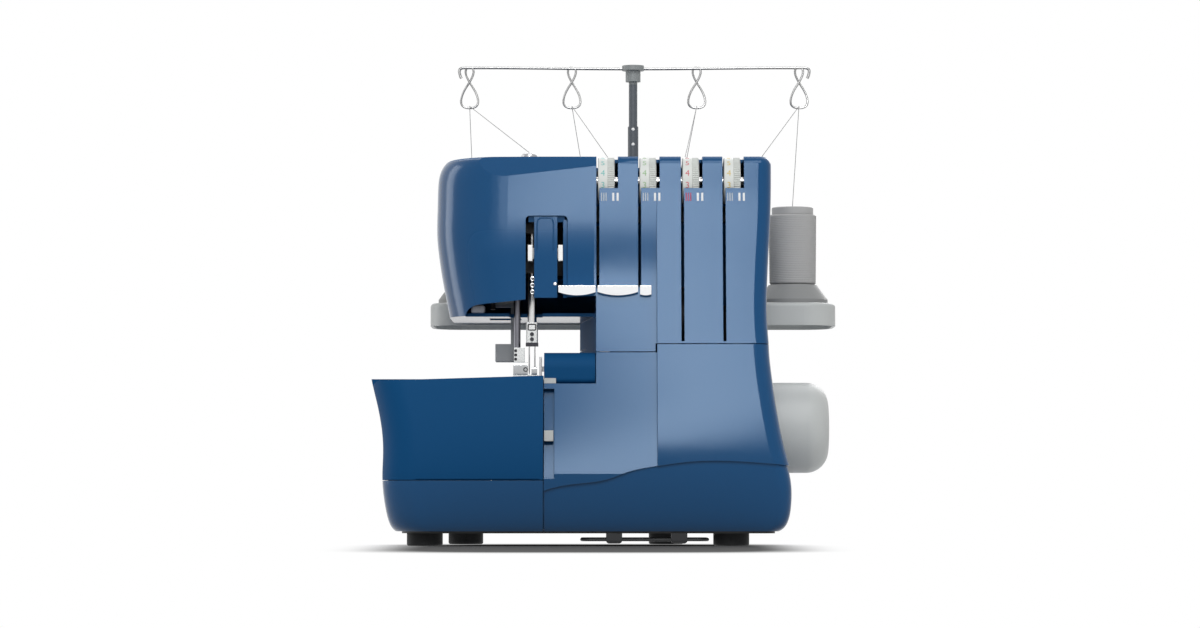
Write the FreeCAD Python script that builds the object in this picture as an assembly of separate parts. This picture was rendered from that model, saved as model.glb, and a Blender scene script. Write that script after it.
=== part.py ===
"""Overlock sewing machine: casing shells, cast frame, drive, stitch mechanism and thread stand.

Millimetres, +Z up, +X to the right as seen from the front, the front faces -Y.
The origin is the middle of the footprint at floor level.
"""
import FreeCAD, Part
import math
import os

V = FreeCAD.Vector

# Casing: heights, walls and joints between the mouldings
CASE_BOTTOM = 11.0
CASE_TOP = 293.6
CASE_REAR = 44.0
WALL = 2.6
SKIRT_WALL = 3.8
SEAM = 0.5
TOP_FILLET = 7.0
COVER_SPLIT_Y = -10.0
HEAD_BOTTOM = 173.0
COLUMN_LEFT_FRONT = -10.5
COLUMN_LEFT_REAR = -25.0
LEFT_SEAM_Z = 145.0
RIGHT_SEAM_Z = 151.0
STEP_X = 35.2
STEP_TOP = 243.0
STEP_DEPTH = 5.0
STEP_LEDGE = 0.05
STEP_HEIGHTS = [46.0, 75.0, 105.0, LEFT_SEAM_Z, STEP_TOP - 58.0, STEP_TOP - 43.0, STEP_TOP - 28.0,
                STEP_TOP - 13.0, STEP_TOP + 5.0, STEP_TOP + 21.0]
STEP_SHARES = [-0.28, 0.5, 0.9, 1.0, 1.0, 0.9, 0.68, 0.42, 0.15, 0.02]
BASE_SPLIT_X = -49.6
BASE_SEAM_Z = 49.0
BED_TOP = 125.0
HUMP_BOTTOM = 121.2
HUMP_TOP = 144.6
HUMP_DEPTH = 57.0
HUMP_ROUND = 12.0
HUMP_FOOT_ROUND = 4.0
WAVE_STEP = 1.6
FINGER_POCKET = 6.0
FINGER_WIDTH = 8.0
SIDE_WALL_X = -37.0
DOOR_TOP_RIGHT = 127.0
DOOR_TOP_LEFT = 123.2
DOOR_CORNER_X = -174.4
DOOR_TIP_X = -178.4
HINGE_Y = -136.0
HINGE_RADIUS = 0.95
CATCH_STEM_X = (-47.0, -44.0)
CATCH_BACK = -125.0
CATCH_TRAVEL = 2.0
CATCH_STEM_END = -112.0
CATCH_MID = 82.0

# Lower mouldings: height, left edge, right edge, front face
LOWER_STATIONS = [
    (CASE_BOTTOM, -160.5, 127.6, -129.5),
    (18.0, -165.4, 134.0, -133.0),
    (30.0, -168.2, 136.4, -135.6),
    (BASE_SEAM_Z, -170.2, 136.0, -137.0),
    (72.0, -169.8, 130.2, -135.6),
    (98.0, -172.8, 125.0, -131.0),
    (110.0, -175.6, 123.1, -128.2),
    (122.0, -178.6, 121.6, -125.2),
    (134.0, -180.8, 120.2, -122.3),
    (147.0, -182.6, 119.2, -119.3),
    (160.0, -184.0, 118.4, -116.2),
]
LOWER_RADII = (26.0, 12.0, 14.0, 14.0)

# Upper moulding: height, left edge, right edge, front face
UPPER_STATIONS = [
    (138.0, -115.0, 120.0, -121.0),
    (160.0, -119.6, 118.4, -116.2),
    (HEAD_BOTTOM + 7.0, -123.4, 117.8, -112.4),
    (200.0, -127.4, 118.4, -108.9),
    (222.0, -130.8, 119.6, -105.4),
    (STEP_TOP + 1.0, -132.2, 120.9, -102.2),
    (264.0, -131.8, 121.6, -99.4),
    (CASE_TOP - 9.0, -129.8, 121.8, -97.2),
    (CASE_TOP, -123.5, 121.8, -96.0),
]
UPPER_RADII = (55.0, 10.0, 14.0, 20.0)

# Bevel along the head's top front edge: two points of its crease, and how far back it goes at the first
BEVEL_X = (-80.0, 15.0)
BEVEL_Z = (CASE_TOP - 15.6, CASE_TOP - 4.6)
BEVEL_RUN = 9.6

# Arch in the head's lower front edge, which shows the lamp and the needles: X and height above the edge
ARCH_POINTS = [(-109.3, -1.0), (-104.8, 6.2), (-94.3, 8.7), (-78.6, 10.0), (-60.0, 12.0), (-37.4, 13.5),
               (COLUMN_LEFT_FRONT, 14.4)]
ARCH_REAR = -78.0

# Feet, base plate and the wire rail under the front edge
FOOT_RADIUS = 13.5
FOOT_HEIGHT = 9.5
PLATE_THICKNESS = 3.0
PLATE_EDGE_GAP = 0.6
FEET = [(-139.0, -97.0), (91.0, -97.0), (-112.0, 18.0), (44.0, 18.0)]
RAIL_LEFT = -21.0
RAIL_RIGHT = 72.6
RAIL_WIRE = 1.3
RAIL_FRONT = -121.0
RAIL_DEPTH = 42.0
RAIL_DROP = 4.6
CLIP_WIDTH = 12.0
CLIP_LENGTH = 12.0
CLIP_CENTRES = [3.0, 51.5]

# Drive: main shaft along X, motor in the column, belt between the two pulleys
SHAFT_Y = -40.0
SHAFT_Z = 89.5
SHAFT_RADIUS = 6.0
SHAFT_LEFT = -118.0
RUN_GAP = 0.05
SEAT_GAP = 0.02
FREE_GAP = 0.3
FIT_GAP = 0.2
WHEEL_RADIUS = 34.5
WHEEL_LEFT = 121.0
WHEEL_RIGHT = 167.0
WHEEL_ROUND = 17.0
WHEEL_WELL_GAP = 2.0
BUSH_WALL = 2.5
MOTOR_Y = -10.0
MOTOR_Z = 172.0
MOTOR_RADIUS = 27.0
MOTOR_LENGTH = 62.0
MOTOR_SHAFT_RADIUS = 3.0
SHAFT_PULLEY_RADIUS = 28.0
MOTOR_PULLEY_RADIUS = 10.0
PULLEY_LEFT = 82.0
PULLEY_WIDTH = 10.0
BELT_WIDTH = 7.0
BELT_THICKNESS = 2.4

# Stitch length dial, mains inlet and switch
STITCH_Y = 14.0
STITCH_STEM = 4.0
STITCH_INSIDE = 12.0
STITCH_STANDOFF = 10.0
STITCH_KNOB = 7.0
STITCH_RADIUS = 12.0
INLET_X = (78.0, 104.0)
SWITCH_X = (52.0, 72.0)
INLET_Z = (28.0, 48.0)
INLET_Y = 32.0
INLET_PROUD = 1.2

# Cast frame
FRAME_WEB_LEFT = 0.0
FRAME_WEB = 13.0
FRAME_FOOT = 8.0
FRAME_TOP = 250.0
FRAME_FRONT = -72.0
FRAME_REAR = 24.0
PEDESTAL_LEFT = 96.0
PEDESTAL_WIDTH = 12.0
ARM_LEFT = -132.0
ARM_LOW = 60.0
ARM_HIGH = 110.0
ARM_FRONT = -58.0
ARM_REAR = 6.0
ARM_WALL = 6.0
HEAD_ARM_LEFT = -112.0
TAKE_MID = 220.0
HEAD_ARM_LOW = TAKE_MID - 14.0
HEAD_ARM_HIGH = TAKE_MID + 24.0
HEAD_ARM_FRONT = -45.0
HEAD_ARM_REAR = -6.0
GUIDE_HEIGHT = 8.0
EAR_HEIGHT = 5.0
EAR_FRONT = 3.4
LUG = 3.2
BOSS_X = (-92.0, -50.4)

# Tension dials on one axle behind the top front edge
DIAL_RADIUS = 17.6
DIAL_WIDTH = 12.6
DIAL_CENTRES = [-2.7, 28.7, 61.0, 92.3]
DIAL_Y = -81.6
DIAL_Z = CASE_TOP - 17.9
DIAL_NOTCH_GAP = 1.2
DIAL_NOTCH_LOW = CASE_TOP - 24.5
AXLE_RADIUS = 3.0
AXLE_LEFT = -21.0
AXLE_RIGHT = 108.0
SLOT_WIDTH = 2.2
SLOT_LOWS = [193.0, 194.0, RIGHT_SEAM_Z + 2.0, RIGHT_SEAM_Z + 2.0]
SLOT_REAR = 14.0

# Stitch mechanism
NEEDLE_X = -59.0
NEEDLE_Y = -74.0
NEEDLE_BAR_RADIUS = 3.5
NEEDLE_BAR_TOP = HEAD_ARM_HIGH + 18.0
NEEDLE_SPACING = 4.2
NEEDLE_RADIUS = 0.5
NEEDLE_TIP = 127.5
CLAMP_TOP = 168.7
CLAMP_LOW = 153.3
CLAMP_WIDTH = 8.8
CLAMP_DEPTH = 10.0
STROKE = 13.0
TAKE_UP_RATIO = 1.2
PRESSER_X = -70.2
PRESSER_RADIUS = 2.5
PRESSER_TOP = HEAD_ARM_HIGH + 14.0
LIFTER_X = (-87.6, -72.4)
LIFTER_Y = -42.5
LIFTER_Z = HEAD_ARM_LOW - 20.0
LIFTER_LOW = 139.6
LIFTER_ARM = 3.4
LIFTER_TAB = 14.0
LIFTER_PIN = 2.0
ANKLE_TOP = 149.5
FOOT_TOP = 128.4
FOOT_GAP = 0.3
PLATE_X = (-90.0, -53.6)
PLATE_Y = (-98.0, -50.0)
KNIFE_Y = (-96.0, -86.0)
TAKE_X = (-63.4, -32.0)
TAKE_Z = (HEAD_BOTTOM + 13.0, TAKE_MID + 28.0)
TONGUE_X = (-57.0, -39.6)
TONGUE_SHARES = (0.0, 0.34, 0.65, 1.0)
TAKE_ROUND = 3.0
TAKE_BLOCK = 6.0
TAKE_ROD_X = -48.0
TAKE_ROD_Y = -91.0
TAKE_ROD_RADIUS = 2.5
TAKE_END = 3.4
TAKE_END_GAP = 0.7
LOWER_PIVOT = (-100.0, 75.0)
UPPER_PIVOT = (-60.0, 72.0)
PIVOT_RADIUS = 4.0
LOOPER_HUB = 7.0
LOWER_LOOPER_Y = (-70.5, -66.5)
UPPER_LOOPER_Y = (-84.5, -80.5)
FEED_STEM_X = (-62.0, -56.0)
FEED_STEM_END = -20.0
FEED_TRAVEL = 4.0
FEED_LOW = 112.5
FEED_HEIGHT = 6.0
FEED_BARS = [-73.3, -67.3]
FEED_BAR_WIDTH = 2.6
FEED_FRONT = -82.0
FEED_REAR = -62.6
KNIFE_THICKNESS = 2.0
KNIFE_TRAVEL = 5.0
KNIFE_ARM_Z = (131.0, 135.0)
EXTENSION_RIGHT = -93.0
DOOR_REAR = -99.5

# Chrome guides and rear screws
GUIDE_STRIP_X = [(-38.7, -10.9), (-9.3, 21.0), (22.6, 31.0)]
GUIDE_STRIP_Z = (HEAD_BOTTOM + 14.6, HEAD_BOTTOM + 22.0)
GUIDE_STRIP_PROUD = 4.0
GUIDE_STRIP_BOW = 0.085
LAMP_X = (-105.0, -94.5)
LAMP_Y = (-87.0, -70.0)
LAMP_HEIGHT = 5.8
DOME_X = -61.0
DOME_RADIUS = 6.1
DOME_HEIGHT = 3.3
EYELET = (104.0, 283.0)
EYELET_RADIUS = 2.4
REAR_SCREWS = [(-35.0, 60.0), (104.0, 62.0), (-95.0, 250.0), (85.0, 250.0)]

# Spool stand, cones, telescopic pole and guide bar
STAND_LEFT = -142.0
STAND_RIGHT = 179.24
STAND_REAR = 137.0
STAND_LOW = 172.0
STAND_TOP = 190.0
STAND_CORNER = 26.0
STAND_WALL = 2.6
STAND_BOSS = 7.0
POLE_X = 19.0
POLE_Y = 92.0
POLE_RADIUS = 4.2
POLE_FOOT_RADIUS = 7.0
POLE_FOOT_HEIGHT = 8.0
ROD_RADIUS = 3.4
ROD_TOP = 376.0
ROD_SHOWN = 43.0
ROD_HELD = 71.0
POLE_JOIN = ROD_TOP - ROD_SHOWN
ROD_LOW = POLE_JOIN - ROD_HELD
COLLAR_RADIUS = 6.0
COLLAR_HEIGHT = 9.0
CAP_RADIUS = 8.8
CAP_HEIGHT = 4.0
BAR_Z = ROD_TOP + CAP_HEIGHT
BAR_DROP = 8.4
BAR_BEND = 5.0
BAR_WIRE = 1.2
BAR_LEFT = -120.0
BAR_RIGHT = 160.0
CONE_OFFSETS = [-127.5, -35.5, 35.5, 127.5]
HOOK_OFFSETS = [-131.0, -49.0, 51.0, 133.0]
HOOK_DROP = 32.0
HOOK_LOW = BAR_Z - HOOK_DROP
HOOK_TOP_RADIUS = 1.4
HOOK_WIDTH = 7.2
HOOK_WIRE = 0.9
RING_RADIUS = 2.6
HOLDER_HEIGHT = 16.0
HOLDER_RIM = 4.0
CONE_BASE = STAND_TOP + HOLDER_HEIGHT
CONE_HEIGHT = 62.0
CONE_TOP = CONE_BASE + CONE_HEIGHT
CONE_COLLAR = 6.0
CONE_BORE = 8.0
CONE_RADIUS = 19.2
CONE_NECK = 16.6
PIN_RADIUS = 3.0
HOLDER_RADIUS = 28.0
THREAD_RADIUS = 0.25


# Beyond the machine on every side, for cutting tools
FAR = 400.0


def box(x0, x1, y0, y1, z0, z1):
    return Part.makeBox(x1 - x0, y1 - y0, z1 - z0, V(x0, y0, z0))


def rounded_box(x0, x1, y0, y1, z0, z1, radius):
    solid = box(x0, x1, y0, y1, z0, z1)
    return solid.makeFillet(radius, solid.Edges)


def cyl_x(y, z, radius, x0, x1):
    return Part.makeCylinder(radius, x1 - x0, V(x0, y, z), V(1, 0, 0))


def cyl_y(x, z, radius, y0, y1):
    return Part.makeCylinder(radius, y1 - y0, V(x, y0, z), V(0, 1, 0))


def cyl_z(x, y, radius, z0, z1):
    return Part.makeCylinder(radius, z1 - z0, V(x, y, z0), V(0, 0, 1))


def rod(start, end, radius):
    run = end.sub(start)
    return Part.makeCylinder(radius, run.Length, start, run)


def fuse(shapes):
    whole = shapes[0]
    for shape in shapes[1:]:
        whole = whole.fuse(shape)
    return whole.removeSplitter()


def cut(shape, tools):
    for tool in tools:
        shape = shape.cut(tool)
    return shape


def pipe(path, radius):
    """Round wire of one radius along a path of lines and tangent arcs."""
    first = path.Edges[0]
    start = first.valueAt(first.FirstParameter)
    direction = first.tangentAt(first.FirstParameter)
    profile = Part.Wire([Part.Circle(start, direction, radius).toShape()])
    return path.makePipeShell([profile], True, True)


def save(name, shapes):
    """Write one node: a single solid, or a group of separate solids."""
    solids = []
    for shape in shapes:
        solids.extend(shape.Solids)
    shape = solids[0] if len(solids) == 1 else Part.makeCompound(solids)
    shape.exportStep(os.path.join("parts", name + ".step"))


def rounded_outline(corners, radii):
    """Closed wire through the corners, with each corner replaced by a tangent arc."""
    edges = []
    count = len(corners)
    starts = []
    ends = []
    middles = []
    for i in range(count):
        here = corners[i]
        back = corners[i - 1].sub(here).normalize()
        ahead = corners[(i + 1) % count].sub(here).normalize()
        half = back.getAngle(ahead) / 2
        reach = radii[i] / math.tan(half)
        inward = (back + ahead).normalize()
        starts.append(here + back * reach)
        ends.append(here + ahead * reach)
        middles.append(here + inward * (radii[i] / math.sin(half) - radii[i]))
    for i in range(count):
        edges.append(Part.Arc(starts[i], middles[i], ends[i]).toShape())
        edges.append(Part.LineSegment(ends[i], starts[(i + 1) % count]).toShape())
    return Part.Wire(edges)


def casing_loft(stations, corner_radii, inset, front_inset, top_drop):
    """Solid through rounded rectangles, one per station, drawn in by the wall."""
    wires = []
    for z, left, right, front in stations:
        if z == CASE_TOP:
            z = z - top_drop
        corners = [
            V(left + inset, front + front_inset, z),
            V(right - inset, front + front_inset, z),
            V(right - inset, CASE_REAR - inset, z),
            V(left + inset, CASE_REAR - inset, z),
        ]
        wires.append(rounded_outline(corners, [r - inset for r in corner_radii]))
    return Part.makeLoft(wires, True, False)


def front_at(z):
    """Front face of the casing at a height, between its stations."""
    stations = LOWER_STATIONS if z < LOWER_STATIONS[-1][0] else UPPER_STATIONS
    for low, high in zip(stations, stations[1:]):
        if low[0] <= z <= high[0]:
            share = (z - low[0]) / (high[0] - low[0])
            return low[3] + share * (high[3] - low[3])
    return stations[-1][3]


def prism_xz(points, y0, y1):
    wire = Part.makePolygon([V(x, y0, z) for x, z in points + points[:1]])
    return Part.Face(wire).extrude(V(0, y1 - y0, 0))


def prism_xy(points, z0, z1):
    wire = Part.makePolygon([V(x, y, z0) for x, y in points + points[:1]])
    return Part.Face(wire).extrude(V(0, 0, z1 - z0))


def step_face(z):
    """Front face left of the column's step at a height, between the heights where its depth is set."""
    depth = STEP_LEDGE
    for i in range(len(STEP_HEIGHTS) - 1):
        low, high = STEP_HEIGHTS[i], STEP_HEIGHTS[i + 1]
        if low <= z <= high:
            share = (z - low) / (high - low)
            depth = STEP_DEPTH * (STEP_SHARES[i] + share * (STEP_SHARES[i + 1] - STEP_SHARES[i]))
    return front_at(z) + depth


def step_cutter(inset):
    """Removes the front of the lower moulding left of the column's step, less towards the bottom."""
    points = [V(0, step_face(z) + inset, z) for z in STEP_HEIGHTS if z < HEAD_BOTTOM + 20.0]
    curve = Part.BSplineCurve()
    curve.interpolate(points)
    lines = [
        Part.LineSegment(points[-1], V(0, -FAR, points[-1].z)).toShape(),
        Part.LineSegment(V(0, -FAR, points[-1].z), V(0, -FAR, points[0].z)).toShape(),
        Part.LineSegment(V(0, -FAR, points[0].z), points[0]).toShape(),
    ]
    face = Part.Face(Part.Wire([curve.toShape()] + lines))
    sweep = face.extrude(V(STEP_X + inset + FAR, 0, 0))
    sweep.translate(V(-FAR, 0, 0))
    return sweep


def throat_cutter(inset, z0, z1):
    """The sewing space left of the column, open to the front, left and rear."""
    front_x = COLUMN_LEFT_FRONT + inset
    rear_x = COLUMN_LEFT_REAR + inset
    rear_y = CASE_REAR + 20.0
    points = [(-FAR, -FAR), (front_x, -FAR), (front_x, -100.0), (rear_x, rear_y), (-FAR, rear_y)]
    return prism_xy(points, z0, z1)


def bevel_cutter(inset):
    """Space before the head's bevelled top front edge, whose crease drops towards the left."""
    low = V(BEVEL_X[0], front_at(BEVEL_Z[0]), BEVEL_Z[0])
    high = V(BEVEL_X[1], front_at(BEVEL_Z[1]), BEVEL_Z[1])
    back = V(BEVEL_X[0], low.y + BEVEL_RUN, CASE_TOP)
    outward = high.sub(low).cross(back.sub(low)).normalize()
    plane = Part.Plane(low.sub(outward * inset), outward)
    return plane.toShape(-FAR, FAR, -FAR, FAR).extrude(outward * FAR)


def upper_form(inset, fillet):
    """Head and column as one form, whose part right of the step stands proud of the rest."""
    stepped = [(z, left, right, max(step_face(z), front + STEP_LEDGE))
               for z, left, right, front in UPPER_STATIONS]
    halves = []
    for stations, side in ((stepped, -1), (UPPER_STATIONS, 1)):
        half = casing_loft(stations, UPPER_RADII, inset, inset, inset)
        rim = [e for e in half.Edges if e.BoundBox.ZMin > CASE_TOP - inset - 0.01]
        half = half.makeFillet(fillet, rim)
        away = sorted((STEP_X + inset, -side * FAR))
        halves.append(half.cut(box(away[0], away[1], -FAR, FAR, 0.0, FAR)))
    return halves[0].cut(bevel_cutter(inset)).fuse(halves[1])


def arch_cutter():
    """Opens the head's lower front edge in a low arch."""
    points = [V(x, -FAR, HEAD_BOTTOM + rise) for x, rise in ARCH_POINTS]
    curve = Part.BSplineCurve()
    curve.interpolate(points)
    corner = V(points[-1].x, -FAR, points[0].z)
    lines = [Part.LineSegment(points[-1], corner).toShape(), Part.LineSegment(corner, points[0]).toShape()]
    face = Part.Face(Part.Wire([curve.toShape()] + lines))
    return face.extrude(V(0, FAR + ARCH_REAR, 0))


def upper_shell():
    """Head and column moulding: outer form less the cavity, with slots, notches and take-up window."""
    outer = upper_form(0.0, TOP_FILLET).cut(throat_cutter(0.0, 0.0, HEAD_BOTTOM))
    inner = upper_form(WALL, TOP_FILLET - WALL).cut(throat_cutter(WALL, 0.0, HEAD_BOTTOM + WALL))
    shell = outer.cut(inner)
    tools = [box(-FAR, STEP_X, -FAR, FAR, 0.0, LEFT_SEAM_Z + SEAM / 2)]
    tools.append(box(STEP_X - 1.0, FAR, -FAR, FAR, 0.0, RIGHT_SEAM_Z + SEAM / 2))
    tools.append(box(-FAR, FAR, COVER_SPLIT_Y, FAR, 0.0, RIGHT_SEAM_Z + SEAM / 2))
    for centre, low in zip(DIAL_CENTRES, SLOT_LOWS):
        left = centre - DIAL_WIDTH / 2 - DIAL_NOTCH_GAP
        right = centre + DIAL_WIDTH / 2 + 2 * DIAL_NOTCH_GAP
        tools.append(box(left, right, -FAR, DIAL_Y + DIAL_RADIUS + DIAL_NOTCH_GAP, DIAL_NOTCH_LOW, FAR))
        tools.append(cyl_x(DIAL_Y, DIAL_Z, DIAL_RADIUS + DIAL_NOTCH_GAP / 2, left, right))
        tools.append(box(left, left + SLOT_WIDTH, -FAR, SLOT_REAR, DIAL_NOTCH_LOW - 1.0, FAR))
        tools.append(box(left, left + SLOT_WIDTH, -FAR, HEAD_ARM_FRONT - 20.0, low, DIAL_NOTCH_LOW))
    window = box(TAKE_X[0], TAKE_X[1], -FAR, HEAD_ARM_FRONT - 40.0, HEAD_BOTTOM - 1.0, TAKE_Z[1])
    corners = [e for e in window.Edges if e.BoundBox.ZMin > TAKE_Z[1] - 0.1 and e.BoundBox.XLength < 0.1]
    tools.append(window.makeFillet(TAKE_ROUND, corners))
    tools.append(arch_cutter())
    # Way through the underside for the needle bar, the presser bar and its lifter
    low = HEAD_BOTTOM - 1.0
    high = HEAD_BOTTOM + 2 * WALL
    tools.append(box(PRESSER_X - 6.0, NEEDLE_X + 8.0, NEEDLE_Y - 9.0, NEEDLE_Y + 9.0, low, high))
    tools.append(box(LIFTER_X[0] - 4.5, LIFTER_X[1] + 4.5, LIFTER_Y - 6.0, LIFTER_Y + 24.0, low, high))
    return cut(shell, tools), outer


def lower_shell():
    """Base and bed moulding: outer form less the cavity, with the wave and the handwheel well."""
    outer = casing_loft(LOWER_STATIONS, LOWER_RADII, 0.0, 0.0, 0.0)
    skirt = casing_loft(LOWER_STATIONS, LOWER_RADII, WAVE_STEP, WAVE_STEP, 0.0)
    wave_points = [(-49.0, 41.0), (-26.0, 46.0), (0.0, 50.0), (12.0, 54.5), (36.0, 59.5), (61.0, 62.7),
                   (86.0, 63.2), (111.0, 61.8), (150.0, 59.0)]
    curve = Part.BSplineCurve()
    curve.interpolate([V(x, -FAR, z) for x, z in wave_points])
    first = V(wave_points[0][0], -FAR, wave_points[0][1])
    last = V(wave_points[-1][0], -FAR, wave_points[-1][1])
    low_right = V(last.x, -FAR, 0.0)
    low_left = V(first.x, -FAR, 0.0)
    lines = [Part.LineSegment(last, low_right).toShape()]
    lines.append(Part.LineSegment(low_right, low_left).toShape())
    lines.append(Part.LineSegment(low_left, first).toShape())
    below_wave = Part.Face(Part.Wire([curve.toShape()] + lines)).extrude(V(0, FAR + COVER_SPLIT_Y, 0))
    outer = outer.cut(below_wave.cut(skirt))
    inner = casing_loft(LOWER_STATIONS, LOWER_RADII, SKIRT_WALL, SKIRT_WALL, 0.0)
    return outer, inner


def split(shape, y, gap):
    """Front and rear parts of a moulding, with a joint line between them."""
    front = shape.cut(box(-FAR, FAR, y - gap / 2, FAR, -FAR, FAR))
    rear = shape.cut(box(-FAR, FAR, -FAR, y + gap / 2, -FAR, FAR))
    return front, rear


def casing():
    """The blue mouldings: two above, two below on the right, base, looper cover and bed on the left."""
    upper, upper_outer = upper_shell()
    front, rear = split(upper, COVER_SPLIT_Y, SEAM)
    save("upper_front_cover", [front])
    save("upper_rear_cover", [rear])

    outer, inner = lower_shell()
    left_face = BASE_SPLIT_X + SEAM / 2
    right_edge = BASE_SPLIT_X - SEAM / 2
    tops = [throat_cutter(0.0, HUMP_BOTTOM, FAR)]
    tops.append(box(-FAR, STEP_X, -FAR, COVER_SPLIT_Y, LEFT_SEAM_Z - SEAM / 2, FAR))
    tops.append(box(-FAR, FAR, -FAR, FAR, RIGHT_SEAM_Z - SEAM / 2, FAR))
    body = cut(outer, [box(-FAR, left_face, -FAR, FAR, -FAR, FAR), step_cutter(0.0)] + tops)
    cavity = cut(inner, [box(-FAR, SIDE_WALL_X, -FAR, FAR, -FAR, FAR), step_cutter(SKIRT_WALL),
                         throat_cutter(WALL, HUMP_BOTTOM - WALL, FAR)])
    pocket = step_cutter(FINGER_POCKET).common(
        box(left_face - 1.0, BASE_SPLIT_X + FINGER_WIDTH, -FAR, FAR, BASE_SEAM_Z + 1.0, HUMP_BOTTOM - 4.0))
    catch_hole = box(CATCH_STEM_X[0] - FREE_GAP, CATCH_STEM_X[1] + FREE_GAP, CATCH_BACK - 2 * FINGER_POCKET,
                     CATCH_STEM_END + CATCH_TRAVEL + FREE_GAP,
                     CATCH_MID - 2.0 - FREE_GAP, CATCH_MID + 2.0 + FREE_GAP)
    arm_way = box(left_face - 1.0, SIDE_WALL_X + 1.0, ARM_FRONT - 2.0, ARM_REAR + 2.0, ARM_LOW - 2.0,
                  ARM_HIGH + 4.0)
    wheel_well = cyl_x(SHAFT_Y, SHAFT_Z, WHEEL_RADIUS + WHEEL_WELL_GAP, WHEEL_LEFT - 9.0, FAR)
    stitch_hole = cyl_x(STITCH_Y, SHAFT_Z, STITCH_STEM + FREE_GAP, WHEEL_LEFT - 9.0, FAR)
    plate_front = LOWER_STATIONS[0][3] + SKIRT_WALL
    plate_way = box(left_face - 1.0, SIDE_WALL_X + 1.0, plate_front, CASE_REAR - SKIRT_WALL,
                    0.0, FOOT_HEIGHT + PLATE_THICKNESS + FREE_GAP)
    shell = cut(body, [cavity, pocket, catch_hole, arm_way, wheel_well, stitch_hole, plate_way])
    for x0, x1 in (INLET_X, SWITCH_X):
        shell = shell.cut(box(x0 - FIT_GAP, x1 + FIT_GAP, INLET_Y, FAR, INLET_Z[0] - FIT_GAP,
                              INLET_Z[1] + FIT_GAP))
    front, rear = split(shell, COVER_SPLIT_Y, SEAM)
    save("lower_front_cover", [front])
    save("lower_rear_cover", [rear])

    left_part = outer.cut(box(right_edge, FAR, -FAR, FAR, -FAR, FAR))
    base_top = BASE_SEAM_Z - SEAM / 2
    base_cavity = inner.cut(box(-FAR, FAR, -FAR, FAR, base_top - WALL, FAR))
    base_left = cut(left_part, [box(-FAR, FAR, -FAR, FAR, base_top, FAR), base_cavity])
    save("base_left_cover", [base_left])

    door_low = BASE_SEAM_Z + SEAM / 2
    door_outline = [(-FAR, door_low), (right_edge, door_low), (right_edge, DOOR_TOP_RIGHT),
                    (DOOR_CORNER_X, DOOR_TOP_LEFT), (DOOR_TIP_X, DOOR_TOP_LEFT - 3.6),
                    (-FAR, DOOR_TOP_LEFT - 3.6)]
    door_rear = DOOR_REAR - SEAM / 2
    door_cavity = inner.common(prism_xz([(-FAR, door_low + WALL), (right_edge - WALL, door_low + WALL),
                                         (right_edge - WALL, DOOR_TOP_RIGHT - WALL),
                                         (-FAR, DOOR_TOP_LEFT - WALL)], -FAR, FAR))
    door = left_part.common(prism_xz(door_outline, -FAR, door_rear)).cut(door_cavity)
    # Rolled lower edge that the cover turns on
    hinge_left, hinge_right = LOWER_STATIONS[3][1] + LOWER_RADII[0], right_edge - WALL
    door = door.cut(box(hinge_left, hinge_right, -FAR, HINGE_Y, -FAR, door_low + HINGE_RADIUS))
    roll = cyl_x(HINGE_Y, door_low + HINGE_RADIUS, HINGE_RADIUS, hinge_left, hinge_right)
    save("looper_cover", [fuse([door, roll])])

    bed_low = BASE_SEAM_Z + SEAM / 2
    bed_cavity = inner.cut(box(-FAR, FAR, -FAR, FAR, BED_TOP - WALL, FAR))
    bed = left_part.common(box(-FAR, FAR, DOOR_REAR + SEAM / 2, FAR, bed_low, BED_TOP)).cut(bed_cavity)
    save("bed_extension", [bed.cut(box(EXTENSION_RIGHT - SEAM / 2, FAR, -FAR, FAR, -FAR, FAR))])
    plate_hole = box(PLATE_X[0] - FIT_GAP, PLATE_X[1] + FIT_GAP, PLATE_Y[0] - FIT_GAP,
                     PLATE_Y[1] + FIT_GAP, 0.0, FAR)
    knife_notch = box(PLATE_X[1], FAR, KNIFE_Y[0] - 1.0, KNIFE_Y[1] + 1.0, BED_TOP - 2 * WALL, FAR)
    cloth_plate = cut(bed, [box(-FAR, EXTENSION_RIGHT + SEAM / 2, -FAR, FAR, -FAR, FAR), plate_hole,
                            knife_notch])
    save("cloth_plate", [cloth_plate])
    return upper_outer


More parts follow.
